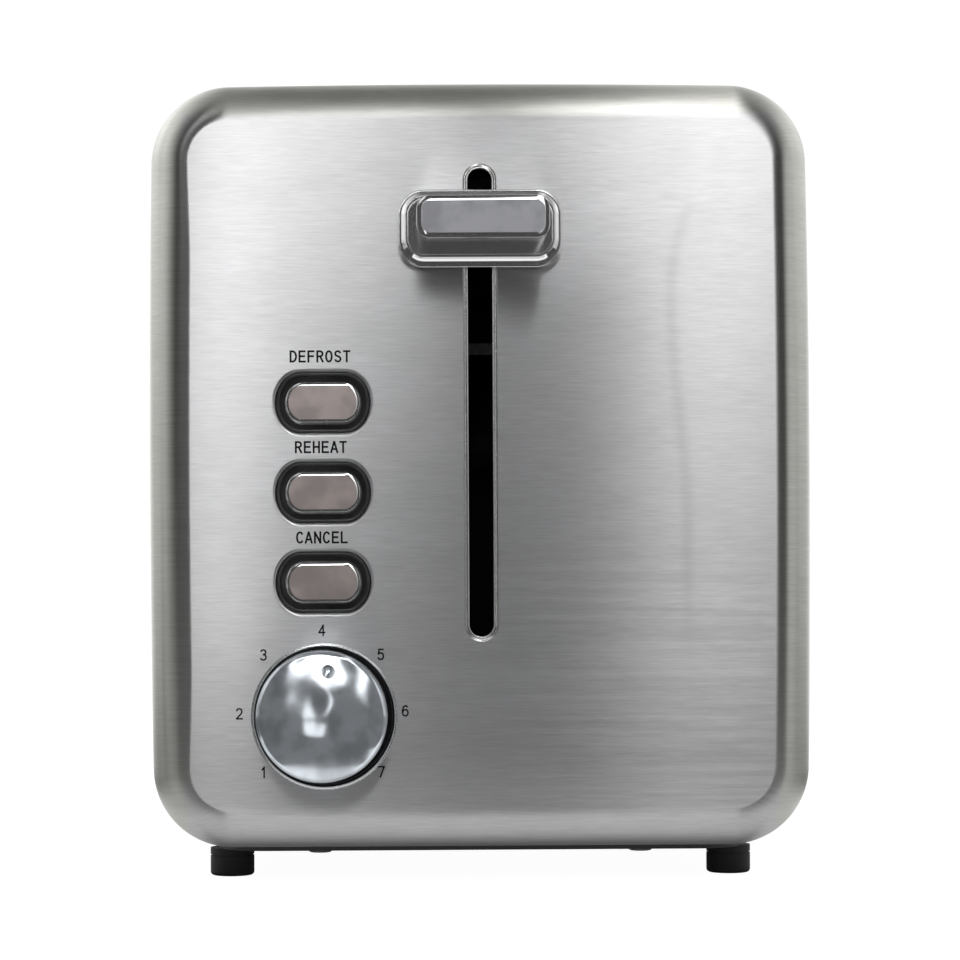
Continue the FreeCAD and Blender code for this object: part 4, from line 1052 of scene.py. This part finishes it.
def spring(side, s):
    """A close wound compression spring, with flat end turns."""
    r_coil, r_wire, z0, z1, turns, seg, sides = 3.95, 0.42, 14.6, 107.9, 17.0, 30, 10
    k = Skin()
    n = int(turns * seg)
    rows = []
    for i in range(n + 1):
        t = i / n
        a = 2 * math.pi * turns * t
        ends = 1.2 / turns                       # each end turn lies flat
        u = min(1.0, max(0.0, (t - ends) / (1 - 2 * ends)))
        rise = 0.9 * 2 * r_wire * 1.2
        low = z0 + r_wire + rise * min(1.0, t / ends)
        z = low + (z1 - z0 - 2 * r_wire - 2 * rise) * u + rise * max(0.0, (t - 1 + ends) / ends)
        c = Vector((s * 14.0 + r_coil * math.cos(a), YF + 38.0 + r_coil * math.sin(a), z))
        out = Vector((math.cos(a), math.sin(a), 0))
        rows.append([(c + (out * math.cos(b) + Vector((0, 0, 1)) * math.sin(b)) * r_wire,
                      out * math.cos(b) + Vector((0, 0, 1)) * math.sin(b)) for b in (2 * math.pi * j / sides for j in range(sides))])
    for i in range(n):
        for j in range(sides):
            q = [rows[i][j], rows[i + 1][j], rows[i + 1][(j + 1) % sides], rows[i][(j + 1) % sides]]
            k.face([p for p, _ in q], [v for _, v in q], [(i * 0.8, j * 0.26), (i * 0.8 + 0.8, j * 0.26), (i * 0.8 + 0.8, j * 0.26 + 0.26), (i * 0.8, j * 0.26 + 0.26)])
    for row, w in ((rows[0], -1), (rows[-1], 1)):
        a = 0.0 if w < 0 else 2 * math.pi * turns
        t = Vector((-math.sin(a), math.cos(a), 0)) * w
        k.face([p for p, _ in row], [t] * sides, [(0, 0)] * sides)
    ob = k.build("return_spring_%s_coil" % side, "housing", SPRING, "spring_steel", "return_spring_" + side)
    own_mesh(ob)
    return ob


# ------------------------------------------------------------------ printed words and dial numbers
def catmull(p, per=8, closed=False):
    out, n = [], len(p)
    spans = n if closed else n - 1
    for i in range(spans):
        g = lambda j: p[j % n] if closed else p[max(0, min(n - 1, j))]
        a, b, c, d = g(i - 1), g(i), g(i + 1), g(i + 2)
        for s in range(per):
            t = s / per
            out.append(tuple(0.5 * (2 * b[q] + (c[q] - a[q]) * t + (2 * a[q] - 5 * b[q] + 4 * c[q] - d[q]) * t * t
                                    + (3 * b[q] - a[q] - 3 * c[q] + d[q]) * t ** 3) for q in (0, 1)))
    if not closed:
        out.append(p[-1])
    return out


def bowl(pts):
    return ("curve", pts)


ROUND = [(0.5, 1), (0.16, 0.9), (0, 0.62), (0, 0.38), (0.16, 0.1), (0.5, 0), (0.84, 0.1), (1, 0.38), (1, 0.62), (0.84, 0.9)]
GLYPHS = {
    "A": [[(-0.06, 0), (0.47, 1)], [(0.53, 1), (1.06, 0)], [(0.16, 0.30), (0.84, 0.30)]],
    "C": [bowl([(0.98, 0.78), (0.82, 0.94), (0.5, 1), (0.17, 0.9), (0, 0.62), (0, 0.38), (0.17, 0.1), (0.5, 0), (0.82, 0.06), (0.98, 0.22)])],
    "D": [[(0, 0), (0, 1)], [(0, 1), (0.42, 1)], bowl([(0.42, 1), (0.8, 0.88), (1, 0.6), (1, 0.4), (0.8, 0.12), (0.42, 0)]), [(0.42, 0), (0, 0)]],
    "E": [[(0, 0), (0, 1)], [(0, 1), (0.95, 1)], [(0, 0.52), (0.85, 0.52)], [(0, 0), (1, 0)]],
    "F": [[(0, 0), (0, 1)], [(0, 1), (0.95, 1)], [(0, 0.52), (0.85, 0.52)]],
    "H": [[(0, 0), (0, 1)], [(1, 0), (1, 1)], [(0, 0.52), (1, 0.52)]],
    "L": [[(0, 1), (0, 0)], [(0, 0), (0.95, 0)]],
    "N": [[(0, 0), (0, 1)], [(0, 1), (1, 0)], [(1, 0), (1, 1)]],
    "O": [("loop", ROUND)],
    "R": [[(0, 0), (0, 1)], [(0, 1), (0.55, 1)], bowl([(0.55, 1), (0.88, 0.91), (0.95, 0.75), (0.88, 0.59), (0.55, 0.5)]), [(0.55, 0.5), (0, 0.5)], [(0.52, 0.5), (1, 0)]],
    "S": [bowl([(0.95, 0.8), (0.8, 0.95), (0.5, 1), (0.17, 0.94), (0.03, 0.77), (0.16, 0.6), (0.5, 0.51), (0.85, 0.41), (0.98, 0.24), (0.84, 0.06), (0.5, 0), (0.17, 0.06), (0.02, 0.22)])],
    "T": [[(0, 1), (1, 1)], [(0.5, 1), (0.5, 0)]],
    "1": [[(0.55, 0), (0.55, 1)], [(0.55, 1), (0.22, 0.76)]],
    "2": [bowl([(0.05, 0.75), (0.17, 0.94), (0.5, 1), (0.85, 0.92), (0.95, 0.72), (0.82, 0.5), (0.35, 0.22), (0.05, 0)]), [(0.03, 0), (1, 0)]],
    "3": [bowl([(0.06, 0.8), (0.2, 0.95), (0.5, 1), (0.82, 0.93), (0.92, 0.76), (0.78, 0.59), (0.42, 0.53)]),
          bowl([(0.42, 0.53), (0.82, 0.47), (0.98, 0.27), (0.83, 0.06), (0.5, 0), (0.17, 0.05), (0.02, 0.2)])],
    "4": [[(0.72, 0), (0.72, 1)], [(0.72, 1), (0, 0.28)], [(0, 0.28), (1, 0.28)]],
    "5": [[(0.9, 1), (0.2, 1)], [(0.2, 1), (0.1, 0.53)], bowl([(0.1, 0.53), (0.27, 0.62), (0.55, 0.64), (0.87, 0.54), (0.98, 0.32), (0.84, 0.07), (0.5, 0), (0.17, 0.05), (0.02, 0.2)])],
    "6": [bowl([(0.9, 0.84), (0.75, 0.96), (0.52, 1), (0.2, 0.88), (0.03, 0.58), (0.02, 0.32), (0.17, 0.07), (0.5, 0), (0.85, 0.08), (0.98, 0.31), (0.85, 0.54), (0.52, 0.61), (0.2, 0.54), (0.04, 0.36)])],
    "7": [[(0, 1), (1, 1)], [(1, 1), (0.35, 0)]],
}


def ribbon(k, pts, w, top, closed=False):
    """A printed stroke: a flat closed ribbon w wide whose face stands at depth top."""
    n = len(pts)
    left, right = [], []
    for i in range(n):
        a = pts[(i - 1) % n] if closed or i else pts[i]
        b, c = pts[i], pts[(i + 1) % n] if closed or i < n - 1 else pts[i]
        d0 = Vector((b[0] - a[0], b[1] - a[1]))
        d1 = Vector((c[0] - b[0], c[1] - b[1]))
        d0 = d0.normalized() if d0.length > 1e-9 else d1.normalized()
        d1 = d1.normalized() if d1.length > 1e-9 else d0
        t = (d0 + d1).normalized()
        m = min(1.5, 1.0 / max(0.3, t.dot(d1)))
        nv = Vector((-t.y, t.x)) * (w / 2 * m)
        left.append((b[0] + nv.x, b[1] + nv.y))
        right.append((b[0] - nv.x, b[1] - nv.y))
    base = 0.03
    one = Vector((0, -1, 0))
    span = range(n if closed else n - 1)
    for i in span:
        j = (i + 1) % n
        q = [left[i], left[j], right[j], right[i]]
        k.face([k.at(*p, top) for p in q], [one] * 4, q)
        k.face([k.at(*p, base) for p in q], [-one] * 4, q)
        for a, b, o in ((left[i], left[j], right[i]), (right[i], right[j], left[i])):
            side = Vector((a[0] - o[0], 0, a[1] - o[1])).normalized()
            k.face([k.at(*a, top), k.at(*b, top), k.at(*b, base), k.at(*a, base)], [side] * 4, [a, b, b, a])
    if not closed:
        for i, j in ((0, 1), (n - 1, n - 2)):
            end = Vector((pts[i][0] - pts[j][0], 0, pts[i][1] - pts[j][1])).normalized()
            a, b = left[i], right[i]
            k.face([k.at(*a, top), k.at(*b, top), k.at(*b, base), k.at(*a, base)], [end] * 4, [a, b, b, a])


def write(k, text, cx, cz, height, pitch, width, stroke):
    """A word centred at cx, cz. Strokes of a letter lie a hair apart in height, so that none is coplanar with another."""
    x = cx - (pitch * (len(text) - 1) + width) / 2
    w, h = width - stroke, height - stroke
    for ch in text:
        for q, g in enumerate(GLYPHS[ch]):
            kind, p = g if isinstance(g, tuple) else ("line", g)
            at = [(x + stroke / 2 + a * w, cz - h / 2 + b * h) for a, b in p]
            if kind == "curve":
                at = catmull(at)
            elif kind == "loop":
                at = catmull(at, closed=True)
            elif len(at) == 2:
                # square ends reach half a stroke past the line, so that corners are full
                d = Vector((at[1][0] - at[0][0], at[1][1] - at[0][1])).normalized() * (stroke / 2)
                at = [(at[0][0] - d.x, at[0][1] - d.y), (at[1][0] + d.x, at[1][1] + d.y)]
            ribbon(k, at, stroke, -0.035 - 0.0015 * q, closed=kind == "loop")
        x += pitch


def print_words():
    k = Skin()
    write(k, "DEFROST", -38.9, 127.7, 2.95, 2.16, 1.78, 0.47)
    write(k, "REHEAT", -38.8, 105.7, 2.95, 2.16, 1.78, 0.47)
    write(k, "CANCEL", -38.6, 83.8, 2.95, 2.16, 1.78, 0.47)
    k.build("button_words", "housing", INK, None)
    k = Skin()
    for i in range(7):
        a = RAD(-135 + 45 * i)
        write(k, str(i + 1), -38.75 + 20.1 * math.sin(a), 41.2 + (0.5 if i == 5 else 0.0) + 20.1 * math.cos(a), 2.8, 2.1, 1.75, 0.38)
    k.build("dial_numbers", "housing", INK, None)


# ------------------------------------------------------------------ put it together
front_cover()
smooth_copy("rear_cover", "rear_cover_steel", "housing", STEEL, cover_normal, cover_grain)
smooth_copy("outer_wrap", "outer_wrap_steel", "housing", STEEL_WRAP, wrap_normal, wrap_grain)
button_bezel()
knob_dish()
for nm, bz in BUTTON_Z.items():
    push_button(nm, bz)
browning_knob()
lever_flange()
lever_handle()
for side, s in (("left", -1), ("right", 1)):
    slot_trim(side, s)
    spring(side, s)
feet()
print_words()

FINISH = {
    BLACK_MATTE: ["slot_liner", "base_plate", "cord_gland", "tray_grip"],
    BLACK_COAT: ["carriage_plate", "lever_stem", "chassis_front"],
    RUBBER: ["carriage_stops"],
    ZINC: ["chassis_rear", "rod_bracket_top", "rod_bracket_bottom",
           "tray_rails", "base_screws", "rear_screws", "crumb_tray", "bread_rack_left", "bread_rack_right", "potentiometer_shaft"],
    REFLECTOR: ["side_reflector_left", "side_reflector_right"],
    MICA: ["heater_card_left", "heater_card_center", "heater_card_right"],
    RIBBON: ["heating_ribbon_left", "heating_ribbon_center", "heating_ribbon_right"],
    PLATED: ["bread_guide_outer_left", "bread_guide_inner_left", "bread_guide_inner_right", "bread_guide_outer_right", "guide_rods"],
    COIL: ["magnet_coil"],
    IRON: ["magnet_core", "armature_plate"],
    BOARD: ["control_board", "power_board"],
    COMPONENT: ["push_switches", "potentiometer", "relay", "transformer"],
    TERMINAL: ["terminal_block", "carriage_bushes", "board_posts"],
}
for mat, names in FINISH.items():
    for nm in names:
        data = NODES[nm].data
        if not data.materials:
            data.materials.append(mat)
        for i in range(len(data.materials)):
            data.materials[i] = mat


# ------------------------------------------------------------------ floor
def make_floor():
    """A plain white sweep. In the metal it shows as a painted pool of light close to the body, with painted shade under
    the body, standing in for a table top under a lit tent.
    """
    bm = bmesh.new()
    n, r0 = 128, 4.0
    top = [bm.verts.new((r0 * math.cos(2 * math.pi * i / n), r0 * math.sin(2 * math.pi * i / n), 0.0)) for i in range(n)]
    low = [bm.verts.new((v.co.x, v.co.y, -0.02)) for v in top]
    bm.faces.new(top)
    bm.faces.new(low[::-1])
    for i in range(n):
        bm.faces.new((top[i], low[i], low[(i + 1) % n], top[(i + 1) % n]))
    me = bpy.data.meshes.new("floor")
    bm.to_mesh(me)
    bm.free()
    ob = bpy.data.objects.new("floor", me)
    SCENE.collection.objects.link(ob)
    m = bpy.data.materials.new("floor_white")
    m.use_nodes = True
    nd = Nodes(m.node_tree)
    out = nd.new("ShaderNodeOutputMaterial")
    # what the eye sees: lit paper with a trace of shade under the body
    paper = nd.new("ShaderNodeBsdfDiffuse")
    paper.inputs["Color"].default_value = (0.9, 0.9, 0.9, 1)
    glow = nd.new("ShaderNodeEmission")
    glow.inputs["Color"].default_value = (1, 1, 1, 1)
    glow.inputs["Strength"].default_value = 1.13
    seen = nd.new("ShaderNodeMixShader")
    seen.inputs[0].default_value = 0.14
    nd.link(glow.outputs[0], seen.inputs[1])
    nd.link(paper.outputs[0], seen.inputs[2])
    # what the metal mirrors: a painted pool of light beside the body, painted shade under it, and dark further out
    p = nd.new("ShaderNodeSeparateXYZ")
    nd.link(nd.new("ShaderNodeNewGeometry").outputs["Position"], p.inputs[0])
    ax = nd.math("SUBTRACT", nd.math("ABSOLUTE", p.outputs[0]), 0.075)
    ay = nd.math("SUBTRACT", nd.math("ABSOLUTE", nd.math("SUBTRACT", p.outputs[1], 0.0095)), 0.134)
    dist = nd.math("MAXIMUM", ax, ay)
    # painted pool of light: bright in a band round the body, falling to painted shade under it and to dark further out
    painted_pool_mask = nd.math("MULTIPLY", nd.span(dist, -0.012, 0.004), nd.span(dist, 0.050, 0.062, 1.0, 0.0))
    lit = nd.math("ADD", nd.math("MULTIPLY", painted_pool_mask, nd.span(dist, 0.020, 0.034, 0.60, 1.0)), 0.06)
    painted_floor_light = nd.new("ShaderNodeEmission")
    nd.link(lit, painted_floor_light.inputs["Strength"])
    mix = nd.new("ShaderNodeMixShader")
    nd.link(nd.new("ShaderNodeLightPath").outputs["Is Camera Ray"], mix.inputs[0])
    nd.link(painted_floor_light.outputs[0], mix.inputs[1])
    nd.link(seen.outputs[0], mix.inputs[2])
    nd.link(mix.outputs[0], out.inputs[0])
    m.cycles.emission_sampling = "NONE"
    me.materials.append(m)


make_floor()


# ------------------------------------------------------------------ light
# Soft boxes: brightness, centre across the studio (x / radius) and over it (degrees up from the front),
# half width, half height in degrees, and tilt in degrees of rise for each unit across.
BOXES = [
    (1.9, -0.225, -9.0, 0.038, 28.0, 80.0),      # tall strip on the left
    (9.3, -0.125, 27.3, 0.140, 4.4, 63.0),       # long bar over the left
    (7.7, 0.130, 45.8, 0.075, 5.3, 76.0),        # shorter bar over the right
    (2.8, 0.275, 42.0, 0.105, 32.0, 79.0),       # big box on the right
    (1.4, -0.360, 49.0, 0.180, 4.5, 60.0),       # end of the left bar's stand-off flag
]
# Bounce off the tent: brightness, a profile across, and one over it.
PANELS = {
    "side_left": (0.94, [(-1, 0.55), (-0.92, 0.9), (-0.82, 0.6), (-0.68, 0)],
                  [(-40, 0.6), (-10, 0.6), (2, 0.1), (12, 0.3), (22, 1), (70, 1), (95, 0.4), (115, 0)]),
    "side_right": (0.70, [(0.70, 0), (0.82, 0.9), (0.92, 0.9), (1, 0.65)],
                   [(-40, 1), (70, 1), (95, 0.6), (115, 0)]),
    "ceiling": (1.12, [(-1, 0.35), (-0.85, 1), (-0.7, 1), (-0.5, 0.75), (-0.3, 0.45), (-0.15, 0.12), (0.12, 0.12), (0.2, 0.3), (0.32, 0.45), (0.55, 0.5), (0.85, 0.8), (1, 0.35)],
                [(60, 0), (76, 0.5), (95, 0.8), (115, 1), (125, 0.7), (150, 0)]),
    "fill": (0.06, [(-1, 1), (1, 1)], [(-40, 1), (180, 1)]),
    "behind": (1.10, [(-1, 0.4), (-0.85, 0.7), (-0.6, 0.95), (-0.3, 1.1), (0, 1.3), (0.15, 1.2), (0.3, 0.9), (0.8, 0.7), (1, 0.4)],
               [(100, 0), (130, 0.85), (180, 1.2)]),
}
TENT_R = 0.400
TENT_BACK = 1.5


def make_tent():
    """The light tent: a dome of soft panels close round the object, seen only by what it lights."""
    bm = bmesh.new()
    bmesh.ops.create_uvsphere(bm, u_segments=96, v_segments=64, radius=TENT_R)
    for v in bm.verts:
        if v.co.y > 0:
            v.co.y *= TENT_BACK
    me = bpy.data.meshes.new("light_tent")
    bm.to_mesh(me)
    bm.free()
    for f in me.polygons:
        f.use_smooth = True
    ob = bpy.data.objects.new("light_tent", me)
    ob.location = (0.0, YF * MM, 0.090)
    SCENE.collection.objects.link(ob)
    m = bpy.data.materials.new("tent_light")
    m.use_nodes = True
    n = Nodes(m.node_tree)
    out = n.new("ShaderNodeOutputMaterial")
    p = n.new("ShaderNodeSeparateXYZ")
    n.link(obj_coord(n), p.inputs[0])
    back = n.math("MULTIPLY", n.math("MAXIMUM", p.outputs[1], 0.0), 1.0 / TENT_BACK)
    y = n.math("ADD", back, n.math("MINIMUM", p.outputs[1], 0.0))
    side = n.math("MULTIPLY", p.outputs[0], 1.0 / TENT_R)
    dx = n.span(p.outputs[0], -TENT_R, TENT_R, smooth=False)
    th = n.math("ARCTAN2", p.outputs[2], n.math("MULTIPLY", y, -1.0))
    # 0 at 100 degrees under the front, so that the seam lies below the floor
    deg = n.math("WRAP", n.math("MULTIPLY", th, 180.0 / math.pi), 280.0, -80.0)
    th = n.span(deg, -80.0, 280.0, smooth=False)
    total = None
    for level, x0, t0, a, b, tilt in BOXES:
        u = n.math("SUBTRACT", side, x0)
        v = n.math("SUBTRACT", n.math("SUBTRACT", deg, t0), n.math("MULTIPLY", u, tilt))
        u = n.math("POWER", n.math("MULTIPLY", n.math("ABSOLUTE", u), 1.0 / a), 4.0)
        v = n.math("POWER", n.math("MULTIPLY", n.math("ABSOLUTE", v), 1.0 / b), 2.0)
        g = n.math("EXPONENT", n.math("MULTIPLY", n.math("ADD", u, v), -1.0))
        s = n.math("MULTIPLY", g, level)
        total = s if total is None else n.math("ADD", total, s)
    for level, across, over in PANELS.values():
        a = n.ramp(dx, [((x + 1) / 2, v) for x, v in across])
        k = n.ramp(th, [((t + 80) / 360, v / 1.2) for t, v in over])
        s = n.math("MULTIPLY", n.math("MULTIPLY", a, k), level * 1.2)
        total = s if total is None else n.math("ADD", total, s)
    e = n.new("ShaderNodeEmission")
    n.link(total, e.inputs["Strength"])
    n.link(e.outputs[0], out.inputs[0])
    m.cycles.emission_sampling = "NONE"
    me.materials.append(m)
    ob.visible_camera = False
    ob.visible_shadow = False


make_tent()


def make_world():
    """Plain white behind the object; a mid grey for anything that looks past the tent."""
    w = bpy.data.worlds.new("studio")
    SCENE.world = w
    w.use_nodes = True
    n = Nodes(w.node_tree)
    out = n.new("ShaderNodeOutputWorld")
    grey = n.new("ShaderNodeBackground")
    grey.inputs["Color"].default_value = (1, 1, 1, 1)
    grey.inputs["Strength"].default_value = 0.5
    white = n.new("ShaderNodeBackground")
    white.inputs["Color"].default_value = (1, 1, 1, 1)
    white.inputs["Strength"].default_value = 1.05
    mix = n.new("ShaderNodeMixShader")
    n.link(n.new("ShaderNodeLightPath").outputs["Is Camera Ray"], mix.inputs[0])
    n.link(grey.outputs[0], mix.inputs[1])
    n.link(white.outputs[0], mix.inputs[2])
    n.link(mix.outputs[0], out.inputs[0])


make_world()
